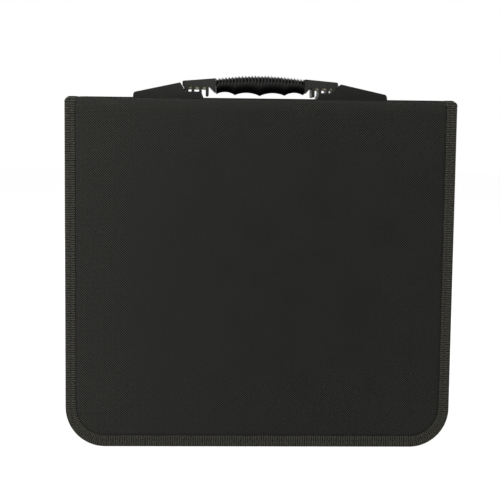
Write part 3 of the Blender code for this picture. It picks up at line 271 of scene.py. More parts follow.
def cover_board(name, side):
    """The board's face, edge and back in one surface.

    Its rings are the edge's outline, drawn in by steps up to 30 mm and from there shrunk towards
    the middle of the top edge. The face rises from the sewn rim to the foam's height as
    1 - exp(-d / 1.1 mm) with the distance d past the binding, swells by 0.5 mm over the foam, and
    carries a ripple of 0.1 mm in slow crossing waves.
    """
    s = along_edge(420)[:, None]
    rings = np.concatenate([np.linspace(*UNDER_TAPE, 5), np.linspace(*FOAM_EDGE, 12),
                            np.linspace(*OUTER_FIELD, 8)])
    shrink = np.linspace(0.0, 1.0, 34)[None, 1:, None]
    lead = round_edge(s, rings[None, :], 0.0, 1.0)[..., [0, 2]]
    middle = np.array([0.0, COVER_TOP])
    plan = np.concatenate([lead, lead[:, -1:, :] * (1 - shrink) + middle * shrink], axis=1)
    x, z = plan[..., 0], plan[..., 1]
    from_centre = np.stack([np.abs(x) - EDGE_BASE / 2, CORNER - z], axis=-1)
    in_corner = CORNER - np.hypot(from_centre[..., 0], from_centre[..., 1])
    edge = np.where((from_centre > 0).all(axis=-1), in_corner, np.minimum(HALF_WIDTH - np.abs(x), z))
    past = np.maximum(edge - FIELD_INSET + SIDE_DRAW * side_share(z), 0.0)
    foam = 1 - np.exp(-past / FOAM_RISE)
    swell = FOAM_SWELL * (1 - np.exp(-past / SWELL_REACH))
    waves = (np.sin(x * 41 + z * 17 + side) * np.sin(z * 33 - x * 9 + 2.0)
             + 0.6 * np.sin(x * 75 - z * 58 + 1.0))
    calm = (1 - np.exp(-past / RIPPLE_REACH)) * (1 - np.exp(-(COVER_TOP - z) / RIPPLE_REACH))
    depth = BOARD_INSET - (BOARD_INSET - FIELD_DEPTH) * foam - swell - RIPPLE * waves * foam * calm
    face = np.stack([x, side * (HALF_DEPTH - depth), z], axis=-1)
    back = np.stack([x, np.full_like(x, side * (HALF_DEPTH - BOARD_BACK)), z], axis=-1)[:, ::-1]
    points = np.concatenate([back, face], axis=1)
    board = merged(grid_mesh(name, points, OXFORD, points[..., [0, 2]] * 1000, caps=True))
    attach(board, "front_cover" if side < 0 else "back_cover")
    return board


front_board = cover_board("front_board_cloth", -1)
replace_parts(front_board, "front_panel")
back_board = cover_board("back_board_cloth", 1)
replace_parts(back_board, "back_panel")

# Binding tape of the covers. A ribbed grosgrain tape is folded over the raw edges of board and
# gusset and sewn through with one row of stitches, which pulls a groove along its middle.
TAPE_WIDTH, TAPE_BACK, TAPE_WALL = 0.0102, 0.0053, 0.0009
STITCH_INSET, BINDING_DEPTH = 0.0054, 0.0075
PUCKER, BOTTOM_PUCKER, PUCKER_PITCH = 0.00003, 0.00008, 0.0064
BOTTOM_START, BOTTOM_END, BOTTOM_EASE = 0.27, 0.66, 0.02
FREE_EDGE_WAVE = 0.00012


def ribbed_tape(name, dark, light, rib, relief):
    """Grosgrain: matt, with close ribs across the tape, as cos(2 pi u / rib) on UV in mm.

    The real ribs stand 0.8 mm apart and are drawn coarser, to show. Noise bends them by up to
    1.9 mm and makes them uneven in strength, as tape is after long wear.
    """
    material, shader = surface_material(name, 0.8, Sheen_Weight=0.02, Sheen_Roughness=0.5,
                                        Specular_IOR_Level=0.10)
    place = add_node(material, "ShaderNodeUVMap", {"uv_map": "cloth"})
    drift = add_node(material, "ShaderNodeTexNoise", {"Scale": 0.35, "Detail": 2.0},
                     {"Vector": place.outputs[0]})
    parts = add_node(material, "ShaderNodeSeparateXYZ", {}, {0: place.outputs[0]})
    bent = add_node(material, "ShaderNodeMath", {"operation": "MULTIPLY_ADD", 1: 1.9},
                    {0: drift.outputs[0], 2: parts.outputs[0]})
    turn = add_node(material, "ShaderNodeMath", {"operation": "MULTIPLY", 1: 2 * math.pi / rib},
                    {0: bent.outputs[0]})
    wave = add_node(material, "ShaderNodeMath", {"operation": "COSINE"}, {0: turn.outputs[0]})
    thread = add_node(material, "ShaderNodeTexNoise", {"Scale": 0.8, "Detail": 3.0},
                      {"Vector": place.outputs[0]})
    part = add_node(material, "ShaderNodeMath", {"operation": "MULTIPLY"},
                    {0: wave.outputs[0], 1: thread.outputs[0]})
    factor = add_node(material, "ShaderNodeMath", {"operation": "MULTIPLY_ADD", 1: 0.95, 2: 0.48,
                      "use_clamp": True}, {0: part.outputs[0]})
    colour = add_node(material, "ShaderNodeMix", {"data_type": "RGBA", 6: linear(dark),
                      7: linear(light)}, {0: factor.outputs[0]})
    bump = add_node(material, "ShaderNodeBump", {"Strength": 0.7, "Distance": relief},
                    {"Height": factor.outputs[0]})
    material.node_tree.links.new(colour.outputs[2], shader.inputs["Base Color"])
    material.node_tree.links.new(bump.outputs[0], shader.inputs["Normal"])
    return material


GROSGRAIN = ribbed_tape("polyester_grosgrain_tape_ribbed", "#080807", "#43423b", 2.05, 0.00034)


def softened(corners, radii, steps=4):
    """A line through corners whose bends are drawn as parabolas: (1-t)^2 a + 2 t (1-t) b + t^2 c."""
    corners = np.asarray(corners, dtype=float)
    t = np.linspace(0.0, 1.0, steps)[:, None]
    parts = [corners[:1]]
    for before, corner, after, radius in zip(corners, corners[1:], corners[2:], radii):
        a = corner + (before - corner) * min(radius / np.linalg.norm(before - corner), 0.48)
        c = corner + (after - corner) * min(radius / np.linalg.norm(after - corner), 0.48)
        parts.append((1 - t) ** 2 * a + 2 * t * (1 - t) * corner + t ** 2 * c)
    return np.concatenate(parts + [corners[-1:]])


def lengths(section):
    """Distance along a line of points, in mm, starting at its first point."""
    steps = np.linalg.norm(np.diff(section, axis=0), axis=1)
    return 1000 * np.concatenate([[0.0], np.cumsum(steps)])


def closed_uv(along, section):
    """UV in mm for a closed section carried along a path: the path's distance, and that round it."""
    across = lengths(np.concatenate([section, section[:1]]))
    return np.stack(np.broadcast_arrays(along * 1000, across[None, :]), axis=-1)


BINDING_SECTION = softened(
    [(TAPE_WIDTH - 0.0001, TAPE_WALL), (TAPE_WIDTH, 0.0002), (0.0082, -0.00015), (0.0060, 0.00005),
     (STITCH_INSET, 0.00060), (0.0048, 0.00005), (0.0022, -0.00020), (0.0, 0.0002), (-0.0001, 0.0036),
     (0.0, BINDING_DEPTH), (0.0028, BINDING_DEPTH + 0.0001), (TAPE_BACK, BINDING_DEPTH - 0.0001),
     (TAPE_BACK, BINDING_DEPTH - TAPE_WALL), (TAPE_WALL, BINDING_DEPTH - TAPE_WALL),
     (TAPE_WALL, TAPE_WALL)],
    [0.0006, 0.0015, 0.0005, 0.0003, 0.0005, 0.0012, 0.0013, 0.002, 0.0010, 0.001, 0.0004, 0.0002, 0.0003])


def cover_binding(name, side):
    """The tape's section carried round the edge, at s, with small puckers between the stitches.

    The depth moves by 0.03 mm * sin(2 pi s / 6.4 mm), and along the bottom and round the corners,
    where the tape is eased round the bend, by 0.11 mm. Up the sides the tape's free edge is drawn
    in by 1 mm.
    """
    s = along_edge(1100)[:, None]
    inset, depth = BINDING_SECTION[None, :, 0], BINDING_SECTION[None, :, 1]
    low = np.clip((s - BOTTOM_START) / BOTTOM_EASE, 0, 1) * np.clip((BOTTOM_END - s) / BOTTOM_EASE, 0, 1)
    wave = np.sin(2 * np.pi * s / PUCKER_PITCH + 3 * np.sin(s * 90)) * np.abs(inset - STITCH_INSET) / 0.005
    pucker = (PUCKER + BOTTOM_PUCKER * low) * wave * np.clip((0.0012 - depth) / 0.001, 0, 1)
    height = round_edge(s, 0.0, 0.0, side)[..., 2]
    to_free_edge = np.clip((inset - STITCH_INSET) / (TAPE_WIDTH - STITCH_INSET), 0, 1)
    drawn = SIDE_DRAW * side_share(height) * to_free_edge * np.clip((0.0022 - depth) / 0.001, 0, 1)
    ragged = FREE_EDGE_WAVE * np.sin(s * 160 + 1.3) * (inset > 0.009)
    points = round_edge(s, inset - drawn + ragged, depth + pucker, side)
    tape = grid_mesh(name, points, GROSGRAIN, closed_uv(s, BINDING_SECTION), ring=True, caps=True)
    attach(tape, "front_cover" if side < 0 else "back_cover")
    return tape


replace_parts(cover_binding("front_binding_tape", -1), "front_binding")
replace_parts(cover_binding("back_binding_tape", 1), "back_binding")

# Lockstitches of the binding. Black twisted polyester thread, one stitch every 3.2 mm, lies in
# the groove that it pulls into the tape.
STITCH_PITCH, STITCH_LENGTH, THREAD = 0.0032, 0.0025, 0.00032
STITCH_START, STITCH_COUNT, GROOVE_FLOOR = 0.001, 290, 0.0003


def twisted_thread(name):
    """Polyester sewing thread: black with a slight gloss, darker in the twist's grooves."""
    material, shader = surface_material(name, 0.55, Specular_IOR_Level=0.4)
    place = add_node(material, "ShaderNodeTexCoord")
    twist = add_node(material, "ShaderNodeTexNoise", {"Scale": 2500.0}, {"Vector": place.outputs["Object"]})
    colour = add_node(material, "ShaderNodeMix", {"data_type": "RGBA", 6: linear("#0f0f0e"),
                      7: linear("#2b2b28")}, {0: twist.outputs[0]})
    material.node_tree.links.new(colour.outputs[2], shader.inputs["Base Color"])
    return material


THREAD_FINISH = twisted_thread("polyester_thread_twisted")


def stitch_row(name, side, inset, depth, on_face):
    """Stitches as small ovals in a row round the edge, at an inset and a depth.

    A stitch's radius is THREAD * sin(t)^0.6 at a share t / pi of its length. Its width lies along
    the inset on the cover's face, and along the depth on the gusset's wall.
    """
    turn = np.linspace(0.08, math.pi - 0.08, 5)[None, :, None]
    round_turn = np.linspace(0, 2 * math.pi, 6, endpoint=False)[None, None, :]
    number = np.arange(STITCH_COUNT)[:, None, None]
    along = STITCH_START + (number + 0.5) * STITCH_PITCH - STITCH_LENGTH / 2 * np.cos(turn)
    across = THREAD * np.sin(turn) ** 0.6 * np.cos(round_turn)
    up = THREAD * np.sin(turn) ** 0.6 * np.sin(round_turn)
    if on_face:
        points = round_edge(along, inset + across, depth - up, side)
    else:
        points = round_edge(along, inset - up, depth + across, side)
    row = grid_mesh(name, points, THREAD_FINISH, ring=True, caps=True, sharp=80)
    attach(row, "front_cover" if side < 0 else "back_cover")
    return row


for word, side in (("front", -1), ("back", 1)):
    stitch_row(f"{word}_binding_stitches", side, STITCH_INSET, GROOVE_FLOOR, True)

# Gussets. A strip of the same oxford cloth, lined and stiffened, is sewn into each cover's edge
# behind the board and carries one half of the zip along its hemmed front edge.
WALL_FOOT, WALL_TOP, WALL_EASE, SLACK = 0.008, 0.041, 0.006, 0.00025
HEM_INSET, HEM_DEPTH = 0.00535, 0.0399
GUSSET_SECTION = softened(
    [(0.0012, 0.0063), (0.0054, 0.0063), (0.0055, 0.0120), (0.0052, 0.0240), (0.0055, 0.0360),
     (0.0054, 0.0400), (0.0055, 0.0421), (0.0068, 0.0421), (0.0069, 0.0360), (0.0065, 0.0240),
     (0.0068, 0.0053), (0.0012, 0.0053)],
    [0.0005, 0.003, 0.005, 0.002, 0.001, 0.0005, 0.0005, 0.003, 0.006, 0.0006], steps=5)
GUSSET_CLOTH = woven_cloth("coated_oxford_cloth_gusset", "#080807", "#30302d", (2.1, 2.1), 0.8, 0.00015)


def cover_gusset(word, side):
    """The gusset's section carried round the edge, with a slack of 0.25 mm in slow waves."""
    s = along_edge(420)[:, None]
    inset, depth = GUSSET_SECTION[None, :, 0], GUSSET_SECTION[None, :, 1]
    wall = np.clip((depth - WALL_FOOT) / WALL_EASE, 0, 1) * np.clip((WALL_TOP - depth) / WALL_EASE, 0, 1)
    slack = SLACK * np.sin(s * 62 + depth * 90 + side) * np.sin(s * 23 + 1) * wall
    gusset = grid_mesh(f"{word}_gusset_cloth", round_edge(s, inset + slack, depth, side), GUSSET_CLOTH,
                       closed_uv(s, GUSSET_SECTION), ring=True, caps=True)
    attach(gusset, f"{word}_cover")
    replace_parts(gusset, f"{word}_gusset")


for word, side in (("front", -1), ("back", 1)):
    cover_gusset(word, side)
    stitch_row(f"{word}_gusset_stitches", side, HEM_INSET, HEM_DEPTH, False)

# Zip tapes and coils. Each half is a woven polyester tape with a nylon monofilament coil, wound
# in flat turns and sewn along the tape's edge, so that it shows as fine close ribs.
ZIP_TAPE_SECTION = softened([(0.0071, 0.0370), (0.0071, 0.0494), (0.0079, 0.0494), (0.0079, 0.0370)],
                            [0.0004, 0.0004], steps=4)
TAPE_CLOTH = woven_cloth("polyester_zip_tape_twill_woven", "#0b0b0a", "#2c2c2a", (1.6, 1.2), 0.6,
                         0.00008)
COIL_PITCH, COIL_WIRE, COIL_START, COIL_TOP = 0.0015, 0.00038, 0.0012, 0.2905
COIL_INSET, COIL_DEPTH, COIL_RISE, COIL_REACH = 0.00595, 0.0481, 0.00045, 0.00095


def zip_tape(word, side):
    """The tape's flat section carried round the edge, from the gusset's hem to the coil."""
    s = along_edge(420)[:, None]
    points = round_edge(s, ZIP_TAPE_SECTION[None, :, 0], ZIP_TAPE_SECTION[None, :, 1], side)
    tape = grid_mesh(f"{word}_zip_tape_cloth", points, TAPE_CLOTH, closed_uv(s, ZIP_TAPE_SECTION),
                     ring=True, caps=True)
    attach(tape, f"{word}_cover")
    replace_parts(tape, f"{word}_zip_tape")


def nylon_coil(name):
    """Nylon monofilament: smooth, dark and glossy, with faint lighter scuffs on its crowns."""
    material, shader = surface_material(name, 0.34, Specular_IOR_Level=0.5)
    place = add_node(material, "ShaderNodeTexCoord")
    scuff = add_node(material, "ShaderNodeTexNoise", {"Scale": 220.0, "Detail": 3.0},
                     {"Vector": place.outputs["Object"]})
    colour = add_node(material, "ShaderNodeMix", {"data_type": "RGBA", 6: linear("#121211"),
                      7: linear("#262624")}, {0: scuff.outputs[0]})
    material.node_tree.links.new(colour.outputs[2], shader.inputs["Base Color"])
    return material


COIL_FINISH = nylon_coil("nylon_monofilament_coil")


def zip_coil(word, side):
    """One coil as a tube on a flat helix, from the top left end to the closed slider.

    At angle t the wire's place is s = pitch * t / 2 pi, inset 5.95 + 0.45 cos t and depth
    48.1 + 0.95 sin t, in mm, and its skin lies one wire radius round that. The back coil runs half a
    turn later, so that the two coils' turns stand in each other's gaps.
    """
    turns = int((EDGE_STOPS[-1] - (COVER_TOP - COIL_TOP)) / COIL_PITCH) - 1
    t = (np.linspace(0, 2 * math.pi * turns, turns * 8 + 1) + (math.pi if side > 0 else 0.0))[:, None]
    skin = np.linspace(0, 2 * math.pi, 5, endpoint=False)[None, :]
    s = COIL_START + COIL_PITCH * t / (2 * math.pi) + COIL_WIRE * np.sin(skin)
    out = COIL_WIRE * np.cos(skin)
    inset = COIL_INSET + (COIL_RISE + out) * np.cos(t)
    depth = COIL_DEPTH + (COIL_REACH + out) * np.sin(t)
    coil = grid_mesh(f"{word}_zip_coil_turns", round_edge(s, inset, depth, side), COIL_FINISH,
                     ring=True, caps=True, sharp=80)
    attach(coil, f"{word}_cover")
    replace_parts(coil, f"{word}_zip_coil")


for word, side in (("front", -1), ("back", 1)):
    zip_tape(word, side)
    zip_coil(word, side)


# Zip slider and pull. Both are die-cast in zinc and stove-painted black. The slider's two plates
# stand on a post between the coils, and the pull swings on a bar through the slider's bridge.
def painted_zinc(name):
    """Stove paint on die-cast zinc: nearly black and satin, with slow variation in its gloss."""
    material, shader = surface_material(name, 0.36, Metallic=0.35)
    place = add_node(material, "ShaderNodeTexCoord")
    cloud = add_node(material, "ShaderNodeTexNoise", {"Scale": 350.0, "Detail": 4.0},
                     {"Vector": place.outputs["Object"]})
    colour = add_node(material, "ShaderNodeMix", {"data_type": "RGBA", 6: linear("#111111"),
                      7: linear("#2c2c2b")}, {0: cloud.outputs[0]})
    rough = add_node(material, "ShaderNodeMapRange", {"To Min": 0.28, "To Max": 0.46},
                     {"Value": cloud.outputs[0]})
    material.node_tree.links.new(colour.outputs[2], shader.inputs["Base Color"])
    material.node_tree.links.new(rough.outputs[0], shader.inputs["Roughness"])
    return material


def finish_node(name, material):
    """Gives a CAD node its material."""
    piece = node[name]
    piece.data.materials.clear()
    piece.data.materials.append(material)
    return piece


PAINTED_ZINC = painted_zinc("painted_die_cast_zinc")
for name in ("zip_slider", "zip_pull"):
    finish_node(name, PAINTED_ZINC)

# Spine. A narrow board under the same cloth joins the covers. Grosgrain tape binds its two
# ends, and a soft cloth fold along each long edge lets a cover turn.
SPINE_HALF, SPINE_SIDE, SPINE_LOW, SPINE_TOP = 0.1695, 0.0450, 0.3080, 0.3120
UNDER_END_TAPE, END_STEP, STEP_RISE = 0.1621, 0.0012, 0.0011
END_ROUND, END_WALL, END_TOP, END_SIDE = 0.0046, 0.0009, 0.3121, 0.0447


def spine_board(name):
    """A slab along x whose top is level at 312 mm and drops to 310.8 mm under the end tapes.

    The drop is 1.2 mm * exp(-d / 1.1 mm) with the distance d from the tape's edge.
    """
    x = np.concatenate([np.linspace(-SPINE_HALF, -0.159, 14), np.linspace(-0.156, 0.156, 90),
                        np.linspace(0.159, SPINE_HALF, 14)])[:, None]
    section = softened([(0.0, SPINE_LOW), (SPINE_SIDE, SPINE_LOW), (SPINE_SIDE, SPINE_TOP),
                        (0.030, SPINE_TOP), (0.0, SPINE_TOP), (-0.030, SPINE_TOP), (-SPINE_SIDE, SPINE_TOP),
                        (-SPINE_SIDE, SPINE_LOW)], [0.0004, 0.0018, 0.01, 0.01, 0.01, 0.0018], steps=6)
    y, z = section[None, :, 0], section[None, :, 1]
    drop = END_STEP * np.exp(-np.maximum(UNDER_END_TAPE - np.abs(x), 0) / STEP_RISE)
    height = z - drop * np.clip((z - SPINE_LOW) / (SPINE_TOP - SPINE_LOW), 0, 1)
    points = np.stack(np.broadcast_arrays(x, y, height), axis=-1)
    uv = np.concatenate([points[..., :2], points[:, :1, :2]], axis=1) * 1000
    return grid_mesh(name, points, SPINE_CLOTH_PAINTED_SHADE, uv, ring=True, caps=True)


# The spine's cloth is a darker copy of the cover cloth: painted shade along the case's top edge.
SPINE_CLOTH_PAINTED_SHADE = woven_cloth("coated_oxford_cloth_painted_shade", "#030303", "#1e1e1c", (2.1, 2.1), 0.8,
                          0.00015)
spine = spine_board("spine_board_cloth")
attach(spine, "spine")
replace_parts(spine, "spine_panel")


def end_tape(word, side):
    """Tape over one end of the spine: a quarter circle from its side to its top, with an even wall."""
    bend = np.linspace(0, math.pi / 2, 9)
    inner = END_ROUND - END_WALL
    outside = np.stack([END_ROUND * (1 - np.cos(bend)), END_TOP - END_ROUND * (1 - np.sin(bend))], axis=-1)
    free_edge = [(TAPE_WIDTH - 0.0001, END_TOP), (TAPE_WIDTH, END_TOP - 0.0003),
                 (TAPE_WIDTH, END_TOP - END_WALL)]
    under = np.stack([END_ROUND - inner * np.sin(bend),
                      END_TOP - END_ROUND + inner * np.cos(bend)], axis=-1)
    section = np.concatenate([outside, free_edge, under])
    y = np.linspace(-END_SIDE, END_SIDE, 120)[:, None]
    points = np.stack(np.broadcast_arrays(side * (HALF_WIDTH - section[None, :, 0]), y,
                                          section[None, :, 1]), axis=-1)
    tape = grid_mesh(f"spine_end_tape_{word}", points, GROSGRAIN, closed_uv(y, section),
                     ring=True, caps=True)
    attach(tape, "spine")
    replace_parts(tape, f"spine_binding_{word}")


end_tape("left", -1)
end_tape("right", 1)

# Cloth folds between spine and covers. The cover's cloth runs up without a seam, turns over in a
# soft roll on the hinge's axis and is sewn to the spine. The binding tape goes over both its ends.
FOLD_OUTER = softened([(0.05005, 0.3069), (0.05010, 0.3088), (0.0497, 0.3102), (0.0485, 0.3109),
                       (0.0470, 0.3110), (0.0452, 0.3108)], [0.001, 0.0012, 0.001, 0.001], steps=5)
FOLD_INNER = softened([(0.0453, 0.3100), (0.0472, 0.3098), (0.0486, 0.3090), (0.0489, 0.3069)],
                      [0.001, 0.001], steps=5)
FOLD_FLAT, FOLD_HALF, TAPE_LIFT = (0.331, 0.0100), 0.1655, 0.0001


def fold_piece(name, side, x, lift, material, width):
    """The fold's section, a closed line in y and z, carried along x.

    lift moves the outer side out along its own normal, row by row. Where width isn't 0 the piece is
    a tape, and its free end draws in by R - sqrt(R^2 - h^2) at a height h over the cover's top,
    with R = END_ROUND, while its inner edge stays.
    """
    tangent = np.gradient(FOLD_OUTER, axis=0)
    normal = np.stack([tangent[:, 1], -tangent[:, 0]], axis=-1) / np.linalg.norm(tangent, axis=1)[:, None]
    outer = FOLD_OUTER[None] + normal[None] * lift[:, None, None]
    inner = np.broadcast_to(FOLD_INNER[None], (len(x), *FOLD_INNER.shape))
    section = np.concatenate([outer, inner], axis=1)
    h = np.clip((section[..., 1] - COVER_TOP) / END_ROUND, 0, 0.98)
    draw = END_ROUND * (1 - np.sqrt(1 - h ** 2))
    from_end = HALF_WIDTH - np.abs(x[:, None])
    share = np.clip(1 - from_end / width, 0, 1) if width else 0.0 * from_end
    across = x[:, None] - np.sign(x[:, None]) * draw * share
    points = np.stack([across, side * section[..., 0], section[..., 1]], axis=-1)
    round_it = lengths(np.concatenate([section[0], section[0, :1]]))[None, :]
    if width:
        uv = np.stack(np.broadcast_arrays(round_it, 1000 * from_end), axis=-1)
    else:
        uv = np.stack(np.broadcast_arrays(x[:, None] * 1000, 1000 * COVER_TOP + round_it), axis=-1)
    piece = grid_mesh(name, points, material, uv, ring=True, caps=True)
    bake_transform(piece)
    return piece


# Distance from the case's end and height over the fold, with a groove at the stitches.
TAPE_FACE = np.array([[0.0000, -0.0004], [0.0004, 0.0], [0.0022, 0.0003], [0.0040, 0.0001],
                      [0.0046, -0.0002], [0.0050, -0.00045], [0.0054, -0.0002], [0.0060, 0.0001],
                      [0.0080, 0.0003], [0.0098, 0.0001], [TAPE_WIDTH, -0.0003]])
for word, side in (("front", -1), ("back", 1)):
    fold = fold_piece(f"{word}_fold_cloth", side, np.linspace(-FOLD_HALF, FOLD_HALF, 150), np.zeros(150),
                      OXFORD, 0)
    for end, way in (("left", -1), ("right", 1)):
        fold_piece(f"{word}_fold_tape_{end}", side, way * (HALF_WIDTH - TAPE_FACE[:, 0]),
                   TAPE_FACE[:, 1] + TAPE_LIFT, GROSGRAIN, TAPE_WIDTH)
    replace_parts(fold, f"{word}_hinge_fold")

# Handle anchors and strap. Both are injection-moulded in polypropylene with a fine satin grain.
# The anchors are riveted to the spine, and the strap's toothed heads drop into their trays.
EDGE_SOFTENING, EDGE_ANGLE, JOIN_DISTANCE = 0.0006, 32, 1e-5


def satin_plastic(name, dark, light, roughness, gloss):
    """Moulded polypropylene: near-black and fine-grained, with slow shifts in colour and gloss."""
    material, shader = surface_material(name, roughness, Specular_IOR_Level=gloss)
    place = add_node(material, "ShaderNodeTexCoord")
    cloud = add_node(material, "ShaderNodeTexNoise", {"Scale": 90.0, "Detail": 4.0},
                     {"Vector": place.outputs["Object"]})
    grain = add_node(material, "ShaderNodeTexNoise", {"Scale": 1600.0, "Detail": 2.0},
                     {"Vector": place.outputs["Object"]})
    colour = add_node(material, "ShaderNodeMix", {"data_type": "RGBA", 6: linear(dark),
                      7: linear(light)}, {0: cloud.outputs[0]})
    rough = add_node(material, "ShaderNodeMapRange", {"To Min": roughness - 0.08,
                     "To Max": roughness + 0.08}, {"Value": cloud.outputs[0]})
    bump = add_node(material, "ShaderNodeBump", {"Strength": 0.35, "Distance": 0.00006},
                    {"Height": grain.outputs[0]})
    material.node_tree.links.new(colour.outputs[2], shader.inputs["Base Color"])
    material.node_tree.links.new(rough.outputs[0], shader.inputs["Roughness"])
    material.node_tree.links.new(bump.outputs[0], shader.inputs["Normal"])
    return material


SATIN_PLASTIC = satin_plastic("polypropylene_moulded_satin", "#0c0d0b", "#161713", 0.36, 0.20)
# The strap takes a lighter copy of the anchors' plastic: painted light.
STRAP_PAINTED_LIGHT_PLASTIC = satin_plastic("polypropylene_moulded_painted_light", "#1b1c19", "#2a2b26", 0.40, 0.20)
for name, plastic in (("handle_anchor_left", SATIN_PLASTIC), ("handle_anchor_right", SATIN_PLASTIC),
                      ("handle_strap", STRAP_PAINTED_LIGHT_PLASTIC)):
    piece = finish_node(name, plastic)
    seam = piece.modifiers.new("joined_faces", "WELD")
    seam.merge_threshold = JOIN_DISTANCE
    soft = piece.modifiers.new("moulded_edges", "BEVEL")
    soft.limit_method, soft.angle_limit = "ANGLE", math.radians(EDGE_ANGLE)
    soft.width, soft.segments = EDGE_SOFTENING, 2

# Webs in the strap's heads. A thin skin of the same plastic closes the upper half of the windows
# between the teeth. Its pale tan is a painted reflection of the light on the teeth's side faces.
WEB_PAINTED_REFLECTION = satin_plastic("polypropylene_painted_reflection", "#8a8272", "#a69e8b", 0.5, 0.2)
WEB_ENDS, WEB_REACH, WEB_LOW, WEB_TOP, WEB_WAVE = (0.0475, 0.0655), 0.0105, 0.3203, 0.3234, 0.0002
WEB_TAPER = 0.0005
for word, side in (("left", -1), ("right", 1)):
    x = side * np.linspace(*WEB_ENDS, 24)[:, None]
    section = softened([(0.0, WEB_LOW), (WEB_REACH - WEB_TAPER, WEB_LOW), (WEB_REACH, WEB_TOP),
                        (-WEB_REACH, WEB_TOP), (WEB_TAPER - WEB_REACH, WEB_LOW), (0.0, WEB_LOW)],
                       [0.0006, 0.0002, 0.0002, 0.0006])[:-1]
    level = section[None, :, 1] + WEB_WAVE * np.sin(x * 900)
    points = np.stack(np.broadcast_arrays(x, section[None, :, 0], level), axis=-1)
    web = grid_mesh(f"head_web_{word}", points, WEB_PAINTED_REFLECTION, ring=True, caps=True)
    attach(web, "spine")

# Grip. Soft thermoplastic rubber is moulded over the strap, with cross ribs on its upper half and
# four finger scallops below, edged by a thin lip where the mould's halves meet.
GRIP_HALF, GRIP_WIDE, RIB_COUNT, RIB_PITCH, RIB_DEPTH = 0.0399, 0.0125, 26, 0.00298, 0.0019
SIDE_CUSP, FOOT_LEVEL, FOOT_RISE, SCALLOP_RISE = 0.0227, 0.3149, 0.0010, 0.00265
CROWN_LEVEL, CROWN_FALL, RIB_FADE, END_CLOSE = 0.3337, 0.0030, 0.0008, 0.0009


def ribbed_rubber(name):
    """Moulded soft rubber: deep black in the hollows, with a painted highlight in grey on the ribs' crests.

    The UV holds how near a place is to a crest and how far up it lies, and the painted highlight's grey is
    their product.
    """
    material = satin_plastic(name, "#050605", "#0b0c0a", 0.45, 0.13)
    tree = material.node_tree
    base = tree.nodes["Principled BSDF"].inputs["Base Color"]
    place = add_node(material, "ShaderNodeUVMap", {"uv_map": "cloth"})
    parts = add_node(material, "ShaderNodeSeparateXYZ", {}, {0: place.outputs[0]})
    crest = add_node(material, "ShaderNodeMath", {"operation": "POWER", 1: 1.5}, {0: parts.outputs[0]})
    # Painted highlight: grey on the crests of the upper half, as if lit from above.
    painted_crest_highlight = add_node(material, "ShaderNodeMath", {"operation": "MULTIPLY"},
                    {0: crest.outputs[0], 1: parts.outputs[1]})
    grey = add_node(material, "ShaderNodeMix", {"data_type": "RGBA", 7: linear("#2a2b27")},
                    {0: painted_crest_highlight.outputs[0], 6: base.links[0].from_socket})
    tree.links.new(grey.outputs[2], base)
    return material


GRIP_RUBBER = ribbed_rubber("thermoplastic_rubber_moulded")


def ribbed_grip(name):
    """Closed cross-sections along x, each a rounded oblong between the scallops and the crown.

    At an angle a the place is y = W sgn(cos a) |cos a|^0.75 and z = middle + H sgn(sin a) |sin a|^0.8.
    The crown falls by 3.0 mm * (x / L)^2 and the foot arches by 2.65 mm * sin(pi t)^0.7 between
    cusps. Ribs are a triangle wave that sinks the upper half, and the lip adds 3.5% to the foot.
    """
    x = np.linspace(-GRIP_HALF, GRIP_HALF, RIB_COUNT * 8 + 1)[:, None]
    turn = np.linspace(0, 2 * math.pi, 56, endpoint=False)[None, :]
    cosine, sine = np.cos(turn), np.sin(turn)
    reach = np.abs(x)
    t = np.where(reach < SIDE_CUSP, reach / SIDE_CUSP, (reach - SIDE_CUSP) / (GRIP_HALF - SIDE_CUSP))
    arch = SCALLOP_RISE * np.clip(np.sin(math.pi * t), 0, 1) ** 0.7
    foot = FOOT_LEVEL + FOOT_RISE * reach / GRIP_HALF + arch
    crown = CROWN_LEVEL - CROWN_FALL * (reach / GRIP_HALF) ** 2
    middle, half = (crown + foot) / 2, (crown - foot) / 2
    valley = 2 * np.abs((x / RIB_PITCH) % 1.0 - 0.5)
    upper = np.clip((sine - 0.02) / 0.22, 0, 1)
    sink = 1 - RIB_DEPTH / half * valley * upper * np.clip((GRIP_HALF - reach) / RIB_FADE, 0, 1)
    lip = 1 + 0.035 * np.exp(-((turn - 1.5 * math.pi) / 0.55) ** 6)
    inward = np.clip((GRIP_HALF - reach) / END_CLOSE, 0, 1)
    close = 0.93 + 0.07 * np.sqrt(1 - (1 - inward) ** 2)
    y = GRIP_WIDE * np.sign(cosine) * np.abs(cosine) ** 0.75 * (0.4 + 0.6 * sink) * close
    z = middle + half * np.sign(sine) * np.abs(sine) ** 0.8 * sink * close * lip
    # The UV carries the painted highlight's mask: nearness to a crest and how far up.
    painted_crest_highlight = np.stack(np.broadcast_arrays(1 - valley, upper), axis=-1)
    grip = grid_mesh(name, np.stack(np.broadcast_arrays(x, y, z), axis=-1), GRIP_RUBBER,
                     np.concatenate([painted_crest_highlight, painted_crest_highlight[:, :1]], axis=1), ring=True, caps=True, sharp=42)
    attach(grip, "spine")
    return grip


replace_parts(ribbed_grip("grip_ribbed_rubber"), "handle_grip")

# Rivets of the anchors. Four steel rivets, lacquered black, go through the anchors' feet and the
# spine board and are clenched inside.
for word in ("left_front", "left_back", "right_front", "right_back"):
    finish_node(f"anchor_rivet_{word}", PAINTED_ZINC)


